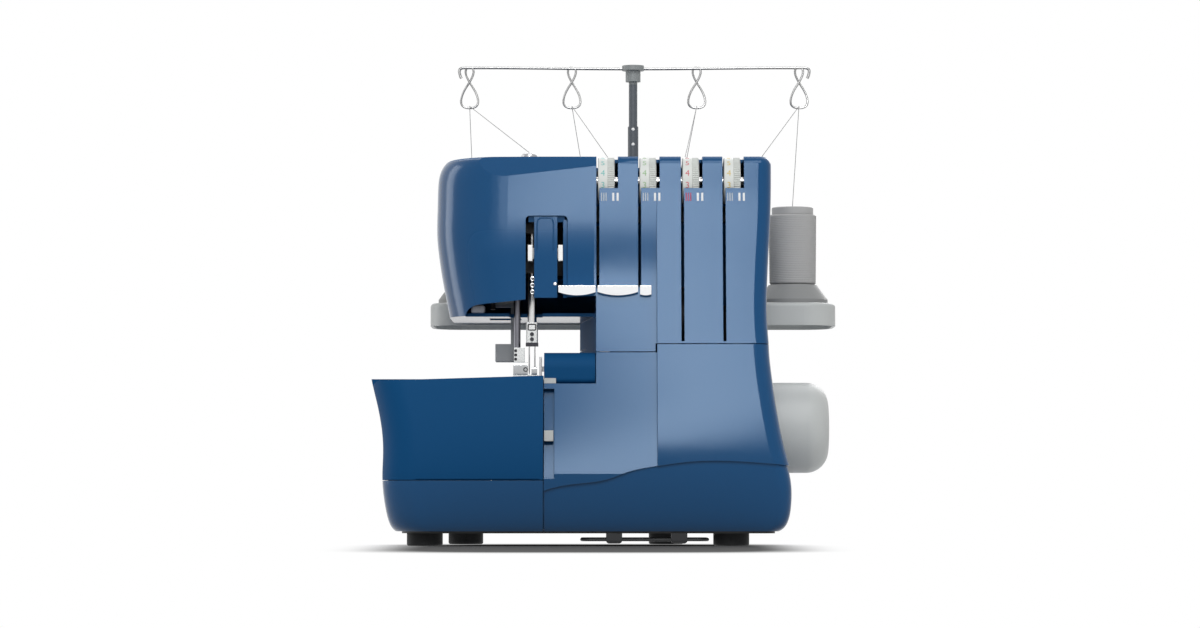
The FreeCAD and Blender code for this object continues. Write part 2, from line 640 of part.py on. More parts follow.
def base():
    """Base plate on four rubber feet, with the wire rail held by two clips under the front."""
    left = LOWER_STATIONS[0][1] + SKIRT_WALL + PLATE_EDGE_GAP
    right = LOWER_STATIONS[0][2] - SKIRT_WALL - PLATE_EDGE_GAP
    front = LOWER_STATIONS[0][3] + SKIRT_WALL + PLATE_EDGE_GAP
    rear = CASE_REAR - SKIRT_WALL - PLATE_EDGE_GAP
    corners = [V(left, front, FOOT_HEIGHT), V(right, front, FOOT_HEIGHT), V(right, rear, FOOT_HEIGHT),
               V(left, rear, FOOT_HEIGHT)]
    outline = rounded_outline(corners, LOWER_RADII)
    save("base_plate", [Part.Face(outline).extrude(V(0, 0, PLATE_THICKNESS))])

    feet = []
    for x, y in FEET:
        foot = cyl_z(x, y, FOOT_RADIUS, 0.0, FOOT_HEIGHT)
        feet.append(foot.makeFillet(1.5, [e for e in foot.Edges if e.BoundBox.ZMax < 0.1]))
    save("rubber_feet", feet)

    rail_z = FOOT_HEIGHT - RAIL_DROP
    corners = [V(RAIL_LEFT, RAIL_FRONT, rail_z), V(RAIL_RIGHT, RAIL_FRONT, rail_z),
               V(RAIL_RIGHT, RAIL_FRONT + RAIL_DEPTH, rail_z),
               V(RAIL_LEFT, RAIL_FRONT + RAIL_DEPTH, rail_z)]
    path = rounded_outline(corners, [6.0] * 4)
    save("accessory_rail", [pipe(path, RAIL_WIRE)])
    clips = []
    groove = pipe(path, RAIL_WIRE + FREE_GAP / 2)
    for x in CLIP_CENTRES:
        clip = box(x - CLIP_WIDTH / 2, x + CLIP_WIDTH / 2, RAIL_FRONT - CLIP_LENGTH / 2,
                   RAIL_FRONT + CLIP_LENGTH / 2,
                   rail_z - 3.0, FOOT_HEIGHT)
        clip = clip.makeFillet(2.5, [e for e in clip.Edges if e.BoundBox.ZMax < FOOT_HEIGHT - 0.1])
        clips.append(clip.cut(groove))
    save("rail_clips", clips)


def frame():
    """Cast frame: foot, web, free arm, head arm with bar guides, and the lugs of the tension axle."""
    floor = FOOT_HEIGHT + PLATE_THICKNESS
    web_right = FRAME_WEB_LEFT + FRAME_WEB
    pedestal_right = PEDESTAL_LEFT + PEDESTAL_WIDTH
    bush_hole = SHAFT_RADIUS + RUN_GAP + BUSH_WALL + SEAT_GAP
    solids = [box(SIDE_WALL_X + 1.0, pedestal_right, FRAME_FRONT, FRAME_REAR, floor, floor + FRAME_FOOT)]
    solids.append(box(FRAME_WEB_LEFT, web_right, FRAME_FRONT, FRAME_REAR, floor, FRAME_TOP))
    solids.append(box(PEDESTAL_LEFT, pedestal_right, SHAFT_Y - 20.0, SHAFT_Y + 20.0, floor, SHAFT_Z + 16.0))
    solids.append(box(ARM_LEFT, web_right, ARM_FRONT, ARM_REAR, ARM_LOW, ARM_HIGH))
    solids.append(box(BOSS_X[0], BOSS_X[1], ARM_FRONT, ARM_REAR - ARM_WALL, ARM_HIGH - 1.0, BED_TOP - WALL))
    solids.append(box(HEAD_ARM_LEFT, web_right, HEAD_ARM_FRONT, HEAD_ARM_REAR, HEAD_ARM_LOW, HEAD_ARM_HIGH))
    for low in (HEAD_ARM_LOW, HEAD_ARM_HIGH - GUIDE_HEIGHT):
        solids.append(box(PRESSER_X - 8.0, TAKE_ROD_X + 4.0, NEEDLE_Y - 9.0, HEAD_ARM_FRONT + 1.0, low,
                          low + GUIDE_HEIGHT))
    # Ears of the take-up guide rod, one above and one below the bar guides
    ear_low = TAKE_MID - TAKE_BLOCK - STROKE * TAKE_UP_RATIO - 2.0
    ear_high = TAKE_MID + TAKE_BLOCK + STROKE * TAKE_UP_RATIO + 2.0
    for low in (ear_low - EAR_HEIGHT, ear_high):
        solids.append(box(TAKE_ROD_X - 4.0, TAKE_ROD_X + 4.0, TAKE_ROD_Y - EAR_FRONT, NEEDLE_Y - 5.0, low,
                          low + EAR_HEIGHT))
    solids.append(box(TAKE_ROD_X - 4.0, TAKE_ROD_X + 4.0, NEEDLE_Y - 9.0, NEEDLE_Y - 5.0,
                      ear_low - EAR_HEIGHT, HEAD_ARM_LOW + 1.0))
    solids.append(box(TAKE_ROD_X - 4.0, TAKE_ROD_X + 4.0, NEEDLE_Y - 9.0, NEEDLE_Y - 5.0,
                      HEAD_ARM_HIGH - 1.0, ear_high + EAR_HEIGHT))
    solids.append(cyl_z(TAKE_ROD_X, TAKE_ROD_Y, TAKE_ROD_RADIUS, ear_low - EAR_HEIGHT,
                        ear_high + EAR_HEIGHT))
    # Lugs of the presser lifter
    for x0 in (LIFTER_X[0] - FREE_GAP - LUG, LIFTER_X[1] + FREE_GAP):
        solids.append(box(x0, x0 + LUG, LIFTER_Y - 5.0, LIFTER_Y + 5.0, LIFTER_Z - 6.0, HEAD_ARM_LOW + 1.0))
    # Tension bar and its two lugs
    bar_front = DIAL_Y + DIAL_RADIUS + 3.0
    solids.append(box(AXLE_LEFT, AXLE_RIGHT, bar_front, bar_front + 12.0, FRAME_TOP - 4.0, FRAME_TOP + 8.0))
    for x0 in (AXLE_LEFT, AXLE_RIGHT - LUG):
        solids.append(box(x0, x0 + LUG, DIAL_Y - 7.0, bar_front + 12.0, FRAME_TOP - 4.0, DIAL_Z + 8.0))
    for x, z, front in ((LOWER_PIVOT[0], LOWER_PIVOT[1], LOWER_LOOPER_Y[0] - 2.0),
                        (UPPER_PIVOT[0], UPPER_PIVOT[1], UPPER_LOOPER_Y[0] - 2.0)):
        solids.append(cyl_y(x, z, PIVOT_RADIUS, front, ARM_FRONT + 1.0))
    holes = [cyl_x(SHAFT_Y, SHAFT_Z, bush_hole, PEDESTAL_LEFT - 1.0, pedestal_right + 1.0)]
    holes.append(cyl_x(SHAFT_Y, SHAFT_Z, bush_hole, FRAME_WEB_LEFT - ARM_WALL - 1.0, web_right + 1.0))
    holes.append(box(ARM_LEFT - 1.0, FRAME_WEB_LEFT - ARM_WALL, ARM_FRONT + ARM_WALL, ARM_REAR - ARM_WALL,
                     ARM_LOW + ARM_WALL, ARM_HIGH - ARM_WALL))
    needle_hole = NEEDLE_BAR_RADIUS + RUN_GAP + BUSH_WALL + SEAT_GAP
    holes.append(cyl_z(NEEDLE_X, NEEDLE_Y, needle_hole, HEAD_ARM_LOW - 1.0, HEAD_ARM_HIGH + 1.0))
    holes.append(cyl_z(PRESSER_X, NEEDLE_Y, PRESSER_RADIUS + RUN_GAP, HEAD_ARM_LOW - 1.0,
                       HEAD_ARM_HIGH + 1.0))
    holes.append(cyl_x(LIFTER_Y, LIFTER_Z, LIFTER_PIN + RUN_GAP, LIFTER_X[0] - 2 * LUG,
                       LIFTER_X[1] + 2 * LUG))
    holes.append(cyl_x(DIAL_Y, DIAL_Z, AXLE_RADIUS + SEAT_GAP, AXLE_LEFT - 1.0, AXLE_RIGHT + 1.0))
    holes.append(box(FEED_STEM_X[0] - FREE_GAP, FEED_STEM_X[1] + FREE_GAP, ARM_FRONT - 1.0,
                     FEED_STEM_END + FEED_TRAVEL + 2.0,
                     FEED_LOW - FREE_GAP, FEED_LOW + FEED_HEIGHT + FREE_GAP))
    save("main_frame", [cut(fuse(solids), holes)])

    bushes = []
    for x0, x1 in ((PEDESTAL_LEFT, pedestal_right), (FRAME_WEB_LEFT - ARM_WALL, web_right)):
        ring = cyl_x(SHAFT_Y, SHAFT_Z, bush_hole - SEAT_GAP, x0, x1)
        bushes.append(ring.cut(cyl_x(SHAFT_Y, SHAFT_Z, SHAFT_RADIUS + RUN_GAP, x0 - 1.0, x1 + 1.0)))
    for low in (HEAD_ARM_LOW, HEAD_ARM_HIGH - GUIDE_HEIGHT):
        ring = cyl_z(NEEDLE_X, NEEDLE_Y, needle_hole - SEAT_GAP, low, low + GUIDE_HEIGHT)
        bushes.append(ring.cut(cyl_z(NEEDLE_X, NEEDLE_Y, NEEDLE_BAR_RADIUS + RUN_GAP, low - 1.0,
                                     low + GUIDE_HEIGHT + 1.0)))
    save("bronze_bushes", bushes)


def belt_loop(grow, x0, x1):
    """Filled loop round both pulleys: two discs and the tangent strip between them."""
    big = SHAFT_PULLEY_RADIUS + grow
    small = MOTOR_PULLEY_RADIUS + grow
    run = math.hypot(MOTOR_Y - SHAFT_Y, MOTOR_Z - SHAFT_Z)
    heading = math.atan2(MOTOR_Z - SHAFT_Z, MOTOR_Y - SHAFT_Y)
    lean = math.acos((big - small) / run)
    points = []
    for side in (1, -1):
        angle = heading + side * lean
        ends = [(SHAFT_Y, SHAFT_Z, big), (MOTOR_Y, MOTOR_Z, small)][::side]
        for y, z, r in ends:
            points.append(V(x0, y + r * math.cos(angle), z + r * math.sin(angle)))
    strip = Part.Face(Part.makePolygon(points + points[:1])).extrude(V(x1 - x0, 0, 0))
    return fuse([strip, cyl_x(SHAFT_Y, SHAFT_Z, big, x0, x1), cyl_x(MOTOR_Y, MOTOR_Z, small, x0, x1)])


def drive():
    """Handwheel and pulley on the main shaft, motor with its pulley, and the belt between them."""
    bore = SHAFT_RADIUS + SEAT_GAP
    profile = [V(WHEEL_LEFT, 0, 0), V(WHEEL_LEFT, 0, WHEEL_RADIUS - 1.0),
               V(WHEEL_LEFT + 1.0, 0, WHEEL_RADIUS),
               V(WHEEL_RIGHT - WHEEL_ROUND, 0, WHEEL_RADIUS)]
    turn = math.pi / 4
    middle = V(WHEEL_RIGHT - WHEEL_ROUND + WHEEL_ROUND * math.sin(turn), 0,
               WHEEL_RADIUS - WHEEL_ROUND + WHEEL_ROUND * math.cos(turn))
    corner_end = V(WHEEL_RIGHT, 0, WHEEL_RADIUS - WHEEL_ROUND)
    edges = [Part.LineSegment(a, b).toShape() for a, b in zip(profile, profile[1:])]
    edges.append(Part.Arc(profile[-1], middle, corner_end).toShape())
    edges.append(Part.LineSegment(corner_end, V(WHEEL_RIGHT, 0, 0)).toShape())
    edges.append(Part.LineSegment(V(WHEEL_RIGHT, 0, 0), profile[0]).toShape())
    wheel = Part.Face(Part.Wire(edges)).revolve(V(0, 0, 0), V(1, 0, 0), 360)
    wheel.translate(V(0, SHAFT_Y, SHAFT_Z))
    shaft_end = WHEEL_RIGHT - WHEEL_ROUND
    save("handwheel", [wheel.cut(cyl_x(SHAFT_Y, SHAFT_Z, bore, WHEEL_LEFT - 1.0, shaft_end + SEAT_GAP))])
    save("main_shaft", [cyl_x(SHAFT_Y, SHAFT_Z, SHAFT_RADIUS, SHAFT_LEFT, shaft_end)])
    right = PULLEY_LEFT + PULLEY_WIDTH
    pulley = cyl_x(SHAFT_Y, SHAFT_Z, SHAFT_PULLEY_RADIUS, PULLEY_LEFT, right)
    save("shaft_pulley", [pulley.cut(cyl_x(SHAFT_Y, SHAFT_Z, bore, PULLEY_LEFT - 1.0, right + 1.0))])

    motor_left = FRAME_WEB_LEFT + FRAME_WEB
    motor_right = motor_left + MOTOR_LENGTH
    nose = motor_right - 10.0
    motor = cyl_x(MOTOR_Y, MOTOR_Z, MOTOR_RADIUS, motor_left, motor_right)
    save("motor", [motor.cut(cyl_x(MOTOR_Y, MOTOR_Z, MOTOR_SHAFT_RADIUS + RUN_GAP, nose,
                                   motor_right + 1.0))])
    stub = cyl_x(MOTOR_Y, MOTOR_Z, MOTOR_SHAFT_RADIUS, nose + FREE_GAP, right)
    save("motor_pulley", [fuse([stub, cyl_x(MOTOR_Y, MOTOR_Z, MOTOR_PULLEY_RADIUS, PULLEY_LEFT, right)])])
    belt_left = PULLEY_LEFT + (PULLEY_WIDTH - BELT_WIDTH) / 2
    outer = belt_loop(FREE_GAP + BELT_THICKNESS, belt_left, belt_left + BELT_WIDTH)
    save("drive_belt", [outer.cut(belt_loop(FREE_GAP, belt_left - 1.0, belt_left + BELT_WIDTH + 1.0))])


def controls():
    """Tension dials on their axle, stitch length dial, mains inlet and rocker switch."""
    save("tension_axle", [cyl_x(DIAL_Y, DIAL_Z, AXLE_RADIUS, AXLE_LEFT, AXLE_RIGHT)])
    for number, centre in enumerate(DIAL_CENTRES, 1):
        left = centre - DIAL_WIDTH / 2
        right = centre + DIAL_WIDTH / 2
        dial = cyl_x(DIAL_Y, DIAL_Z, DIAL_RADIUS, left, right)
        dial = dial.makeFillet(0.8, dial.Edges)
        save("tension_dial_%d" % number, [dial.cut(cyl_x(DIAL_Y, DIAL_Z, AXLE_RADIUS + RUN_GAP,
                                                         left - 1.0, right + 1.0))])

    stem_left = WHEEL_LEFT - STITCH_INSIDE
    knob_left = WHEEL_LEFT + STITCH_STANDOFF
    knob = cyl_x(STITCH_Y, SHAFT_Z, STITCH_RADIUS, knob_left, knob_left + STITCH_KNOB)
    knob = knob.makeFillet(1.2, knob.Edges)
    save("stitch_length_dial", [fuse([knob, cyl_x(STITCH_Y, SHAFT_Z, STITCH_STEM, stem_left,
                                                  knob_left + 1.0)])])

    face = CASE_REAR + INLET_PROUD
    low, high = INLET_Z
    socket = box(INLET_X[0], INLET_X[1], INLET_Y, face, low, high)
    socket = socket.cut(box(INLET_X[0] + 4.0, INLET_X[1] - 4.0, INLET_Y + 4.0, face + 1.0, low + 4.0,
                            high - 4.0))
    middle = (INLET_X[0] + INLET_X[1]) / 2
    level = (low + high) / 2
    pins = [cyl_y(middle + side * 4.0, level, 1.2, INLET_Y + 3.0, INLET_Y + 8.0) for side in (-1, 1)]
    surround = box(SWITCH_X[0], SWITCH_X[1], INLET_Y, face, low, high)
    surround = surround.cut(box(SWITCH_X[0] + 3.0, SWITCH_X[1] - 3.0, INLET_Y + 2.0, face + 1.0,
                                low + 3.0, high - 3.0))
    pivot_y = CASE_REAR - 4.0
    surround = surround.cut(cyl_x(pivot_y, level, 1.5 + RUN_GAP, SWITCH_X[0] + 1.0, SWITCH_X[1] - 1.0))
    save("power_inlet", [fuse([socket] + pins), surround])
    rocker = box(SWITCH_X[0] + 3.5, SWITCH_X[1] - 3.5, pivot_y - 3.0, face + 0.8, low + 4.4, high - 4.4)
    stub = cyl_x(pivot_y, level, 1.5, SWITCH_X[0] + 1.2, SWITCH_X[1] - 1.2)
    save("power_switch", [fuse([rocker, stub])])


def needle_drive():
    """Needle bar with its clamp, two needles and their screws, and the take-up lever in front."""
    bar_low = CLAMP_LOW + 7.0
    save("needle_bar", [cyl_z(NEEDLE_X, NEEDLE_Y, NEEDLE_BAR_RADIUS, bar_low, NEEDLE_BAR_TOP)])
    half = CLAMP_WIDTH / 2
    front = NEEDLE_Y - CLAMP_DEPTH / 2
    clamp = box(NEEDLE_X - half, NEEDLE_X + half, front, front + CLAMP_DEPTH, CLAMP_LOW, CLAMP_TOP)
    clamp = clamp.makeFillet(1.0, [e for e in clamp.Edges if e.BoundBox.ZLength > 5.0])
    clamp = clamp.cut(cyl_z(NEEDLE_X, NEEDLE_Y, NEEDLE_BAR_RADIUS + SEAT_GAP, bar_low, CLAMP_TOP + 1.0))
    needles = []
    for side in (-1, 1):
        x = NEEDLE_X + side * NEEDLE_SPACING / 2
        top = bar_low - 1.0
        clamp = clamp.cut(cyl_z(x, NEEDLE_Y, NEEDLE_RADIUS + SEAT_GAP, CLAMP_LOW - 1.0, top))
        point = Part.makeCone(0.05, NEEDLE_RADIUS, 4.0, V(x, NEEDLE_Y, NEEDLE_TIP), V(0, 0, 1))
        needles.append(fuse([point, cyl_z(x, NEEDLE_Y, NEEDLE_RADIUS, NEEDLE_TIP + 4.0, top)]))
    save("needle_clamp", [clamp])
    save("needles", needles)
    levels = (CLAMP_LOW + 2.6, CLAMP_LOW + 6.4)
    save("clamp_screws", [cyl_y(NEEDLE_X, z, 1.5, front - 1.8, front) for z in levels])

    ends = []
    face = step_face(TAKE_MID) + 0.6
    for x0 in (TAKE_X[0] + 1.7, TONGUE_X[1] + TAKE_END_GAP):
        ends.append(box(x0, x0 + TAKE_END, face, TAKE_ROD_Y - 2.0, TAKE_MID - TAKE_BLOCK,
                        TAKE_MID + TAKE_BLOCK))
    right = TONGUE_X[1] + TAKE_END_GAP + TAKE_END
    bridge = box(TAKE_X[0] + 1.7, right, TAKE_ROD_Y - 5.0, TAKE_ROD_Y - 2.0, TAKE_MID - 4.0, TAKE_MID + 4.0)
    block = box(TAKE_ROD_X - 4.0, TAKE_ROD_X + 4.0, TAKE_ROD_Y - 5.0, TAKE_ROD_Y + 5.0,
                TAKE_MID - TAKE_BLOCK, TAKE_MID + TAKE_BLOCK)
    lever = fuse(ends + [bridge, block])
    save("take_up_lever", [lever.cut(cyl_z(TAKE_ROD_X, TAKE_ROD_Y, TAKE_ROD_RADIUS + RUN_GAP, 0.0, FAR))])


def tongue():
    """Guard between the two take-up slots, hung from a flange behind the front moulding."""
    top = TAKE_Z[1] - SEAM
    heights = [TAKE_Z[0] + share * (top - TAKE_Z[0]) for share in TONGUE_SHARES]
    points = [(step_face(z) + 1.0, z) for z in heights]
    back = [(y + WALL, z) for y, z in reversed(points)]
    wire = Part.makePolygon([V(TONGUE_X[0], y, z) for y, z in points + back + points[:1]])
    strip = Part.Face(wire).extrude(V(TONGUE_X[1] - TONGUE_X[0], 0, 0))
    # Recessed edge right of the right-hand slot
    slot_right = TONGUE_X[1] + TAKE_END_GAP + TAKE_END + FREE_GAP
    edge = Part.Face(wire).extrude(V(TAKE_X[1] - FIT_GAP - slot_right, 0, 0))
    edge.translate(V(slot_right - TONGUE_X[0], 1.0, 0))
    edge = edge.cut(box(-FAR, FAR, -FAR, FAR, TAKE_Z[1] - TAKE_ROUND, FAR))
    flange_top = TAKE_Z[1] + 5.0
    behind = step_face(flange_top) + WALL + FREE_GAP
    flange = box(TAKE_X[0] + 2.0, TAKE_X[1] - 2.0, behind, behind + WALL, TAKE_Z[1] - 4.5, flange_top)
    hanger = box(TONGUE_X[0], TONGUE_X[1], step_face(top) + 2.0, behind + 1.0, TAKE_Z[1] - 4.5, top)
    save("take_up_cover", [fuse([strip, edge, flange, hanger])])


def presser():
    """Presser bar with its foot, and the lifter lever hinged under the head arm."""
    save("presser_bar", [cyl_z(PRESSER_X, NEEDLE_Y, PRESSER_RADIUS, ANKLE_TOP, PRESSER_TOP)])
    clamp_left = NEEDLE_X - CLAMP_WIDTH / 2
    sole_low = BED_TOP + FOOT_GAP
    ankle = box(PRESSER_X - 2.4, clamp_left - 1.2, NEEDLE_Y - 5.0, NEEDLE_Y + 5.0, FOOT_TOP + 4.0,
                ANKLE_TOP)
    shank = box(PRESSER_X - 1.8, clamp_left - 1.6, NEEDLE_Y - 3.0, NEEDLE_Y + 3.0, FOOT_TOP - 1.0,
                FOOT_TOP + 4.0)
    sole = box(PRESSER_X - 2.6, PLATE_X[1] - 0.6, PLATE_Y[0] - 0.5, NEEDLE_Y + 18.0, sole_low, FOOT_TOP)
    needle_way = box(NEEDLE_X - NEEDLE_SPACING, NEEDLE_X + NEEDLE_SPACING - 0.4, NEEDLE_Y - 3.0,
                     NEEDLE_Y + 3.0, 0.0, FAR)
    save("presser_foot", [fuse([ankle, shank, sole.cut(needle_way)])])

    front, rear = LIFTER_Y - LIFTER_ARM / 2, LIFTER_Y + LIFTER_ARM / 2
    tab = box(LIFTER_X[0], LIFTER_X[1], front, rear, LIFTER_LOW, LIFTER_LOW + LIFTER_TAB)
    tab = tab.makeFillet(1.2, [e for e in tab.Edges if e.BoundBox.ZMax < LIFTER_LOW + 0.1])
    arm = box(LIFTER_X[1] - LIFTER_ARM, LIFTER_X[1], front, rear, LIFTER_LOW + 2.0, LIFTER_Z)
    hub = cyl_x(LIFTER_Y, LIFTER_Z, 4.5, LIFTER_X[0], LIFTER_X[1])
    pin = cyl_x(LIFTER_Y, LIFTER_Z, LIFTER_PIN, LIFTER_X[0] - LUG, LIFTER_X[1] + LUG)
    save("presser_lifter", [fuse([tab, arm, hub, pin])])


def looper(pivot, arm_points, y_range):
    """Flat arm on a bored hub that turns on a pin of the free arm."""
    x, z = pivot
    mid = (y_range[0] + y_range[1]) / 2
    arm = prism_xz(arm_points, mid - 1.4, mid + 1.4)
    hub = cyl_y(x, z, LOOPER_HUB, y_range[0], y_range[1])
    bore = cyl_y(x, z, PIVOT_RADIUS + RUN_GAP, y_range[0] - 1.0, y_range[1] + 1.0)
    return fuse([arm, hub]).cut(bore)


def stitch_plate():
    """Needle plate, feed dog, two loopers, both knives and the knife housing on the bed."""
    plate = box(PLATE_X[0], PLATE_X[1], PLATE_Y[0], PLATE_Y[1], BED_TOP - WALL, BED_TOP)
    slot = NEEDLE_SPACING
    plate = plate.cut(box(NEEDLE_X - slot, NEEDLE_X + slot, NEEDLE_Y - 3.0, NEEDLE_Y + 3.0, 0.0, FAR))
    bars = []
    feed_top = FEED_LOW + FEED_HEIGHT
    for x in FEED_BARS:
        bars.append(box(x, x + FEED_BAR_WIDTH, FEED_FRONT, FEED_REAR, feed_top - 2.0, BED_TOP - 0.2))
        plate = plate.cut(box(x - 0.5, x + FEED_BAR_WIDTH + 0.5, FEED_FRONT - FEED_TRAVEL - 0.6,
                              FEED_REAR + FEED_TRAVEL + 0.6, 0.0, FAR))
    save("needle_plate", [plate])
    cross = box(FEED_BARS[0], FEED_STEM_X[1], FEED_REAR - 6.0, FEED_REAR, FEED_LOW, feed_top)
    stem = box(FEED_STEM_X[0], FEED_STEM_X[1], FEED_REAR - 6.0, FEED_STEM_END, FEED_LOW, feed_top)
    save("feed_dog", [fuse([cross, stem] + bars)])

    x, z = LOWER_PIVOT
    lower_arm = [(x - 5.0, z + 3.0), (x + 2.0, z - 5.0), (x + 30.0, z + 25.0), (x + 26.0, z + 29.0),
                 (x + 16.0, z + 25.0)]
    save("lower_looper", [looper(LOWER_PIVOT, lower_arm, LOWER_LOOPER_Y)])
    x, z = UPPER_PIVOT
    upper_arm = [(x - 6.0, z - 2.0), (x + 6.0, z - 2.0), (x, z + 34.0), (x - 8.0, z + 38.0),
                 (x - 10.0, z + 36.0)]
    save("upper_looper", [looper(UPPER_PIVOT, upper_arm, UPPER_LOOPER_Y)])

    case_face = BASE_SPLIT_X + SEAM / 2
    lower_left = case_face - 1.6
    save("lower_knife", [box(lower_left, case_face, KNIFE_Y[0], KNIFE_Y[1], UPPER_PIVOT[1] + 28.0,
                             BED_TOP - FREE_GAP)])
    right = lower_left - FREE_GAP
    blade = box(right - KNIFE_THICKNESS, right, KNIFE_Y[0], KNIFE_Y[1], BED_TOP - 5.0, KNIFE_ARM_Z[1] + 7.0)
    mid = (KNIFE_Y[0] + KNIFE_Y[1]) / 2
    arm = box(right - 1.0, case_face + 7.0, mid - 2.0, mid + 2.0, KNIFE_ARM_Z[0], KNIFE_ARM_Z[1])
    save("upper_knife", [fuse([blade, arm])])
    hump_front = step_face(HUMP_BOTTOM) + 3.4
    hump_rear = hump_front + HUMP_DEPTH
    hump = box(case_face, COLUMN_LEFT_FRONT, hump_front, hump_rear, HUMP_BOTTOM, HUMP_TOP)
    for level, radius in ((HUMP_TOP, HUMP_ROUND), (HUMP_BOTTOM, HUMP_FOOT_ROUND)):
        long_edges = [e for e in hump.Edges if e.BoundBox.XLength > HUMP_ROUND and e.BoundBox.YLength < 0.1]
        hump = hump.makeFillet(radius, [e for e in long_edges if abs(e.BoundBox.ZMax - level) < 0.1])
    knife_way = box(case_face - 1.0, case_face + 8.0, mid - 2.0 - FREE_GAP, mid + 2.0 + FREE_GAP,
                    KNIFE_ARM_Z[0] - KNIFE_TRAVEL - FREE_GAP, KNIFE_ARM_Z[1] + KNIFE_TRAVEL + FREE_GAP)
    hump = hump.common(throat_cutter(-SEAM, 0.0, FAR))
    save("knife_housing", [hump.cut(knife_way)])
    stop_right = case_face + 9.0
    save("cover_stop", [box(case_face, stop_right, hump_front - 2.8, hump_front - FREE_GAP, HUMP_BOTTOM,
                            HUMP_BOTTOM + 4.0)])
    pocket_back = step_face(CATCH_MID) + FINGER_POCKET
    tab = box(case_face + 0.3, BASE_SPLIT_X + FINGER_WIDTH - 0.6, pocket_back - 7.4,
              pocket_back - CATCH_TRAVEL - 2.0, CATCH_MID - 4.0, CATCH_MID + 4.0)
    stem = box(CATCH_STEM_X[0], CATCH_STEM_X[1], pocket_back - 4.0, CATCH_STEM_END, CATCH_MID - 2.0,
               CATCH_MID + 2.0)
    save("cover_catch", [fuse([tab, stem])])


def guides(upper_outer):
    """Chrome guides on the casing, the lamp lens under the head and the screws at the rear."""
    low, high = GUIDE_STRIP_Z
    teeth = []
    for x0, x1 in GUIDE_STRIP_X:
        front = step_face(low) - GUIDE_STRIP_PROUD
        shoulder = low + GUIDE_STRIP_BOW * (x1 - x0)
        bow = Part.Arc(V(x0, front, shoulder), V((x0 + x1) / 2, front, low), V(x1, front, shoulder)).toShape()
        sides = Part.makePolygon([V(x1, front, shoulder), V(x1, front, high), V(x0, front, high),
                                  V(x0, front, shoulder)])
        strip = Part.Face(Part.Wire([bow] + sides.Edges)).extrude(V(0, 2 * GUIDE_STRIP_PROUD + STEP_DEPTH, 0))
        teeth.append(strip.cut(upper_outer))
    save("chrome_thread_guide", teeth)

    dome = cyl_z(DOME_X, DIAL_Y, DOME_RADIUS, CASE_TOP, CASE_TOP + DOME_HEIGHT)
    dome = dome.makeFillet(DOME_HEIGHT - 0.4, [e for e in dome.Edges if e.BoundBox.ZMin > CASE_TOP + 1.0])
    eye_y = CASE_REAR + 2.0
    eye = cyl_y(EYELET[0], EYELET[1], EYELET_RADIUS + 1.6, eye_y, eye_y + 1.6)
    eye = eye.cut(cyl_y(EYELET[0], EYELET[1], EYELET_RADIUS, CASE_REAR, eye_y + 2.0))
    eye = eye.makeFillet(0.5, [e for e in eye.Edges if e.BoundBox.YLength < 0.1])
    post = box(EYELET[0] - 1.0, EYELET[0] + 1.0, CASE_REAR, eye_y + 0.8,
               EYELET[1] - EYELET_RADIUS - 4.0, EYELET[1] - EYELET_RADIUS - 0.6)
    save("thread_eyelets", [dome, fuse([eye, post])])

    lens_low = HEAD_BOTTOM + WALL
    lens = rounded_box(LAMP_X[0], LAMP_X[1], LAMP_Y[0], LAMP_Y[1], lens_low, lens_low + LAMP_HEIGHT, 1.5)
    save("lamp_lens", [lens])
    save("cover_screws", [cyl_y(x, z, 3.5, CASE_REAR, CASE_REAR + 2.0) for x, z in REAR_SCREWS])


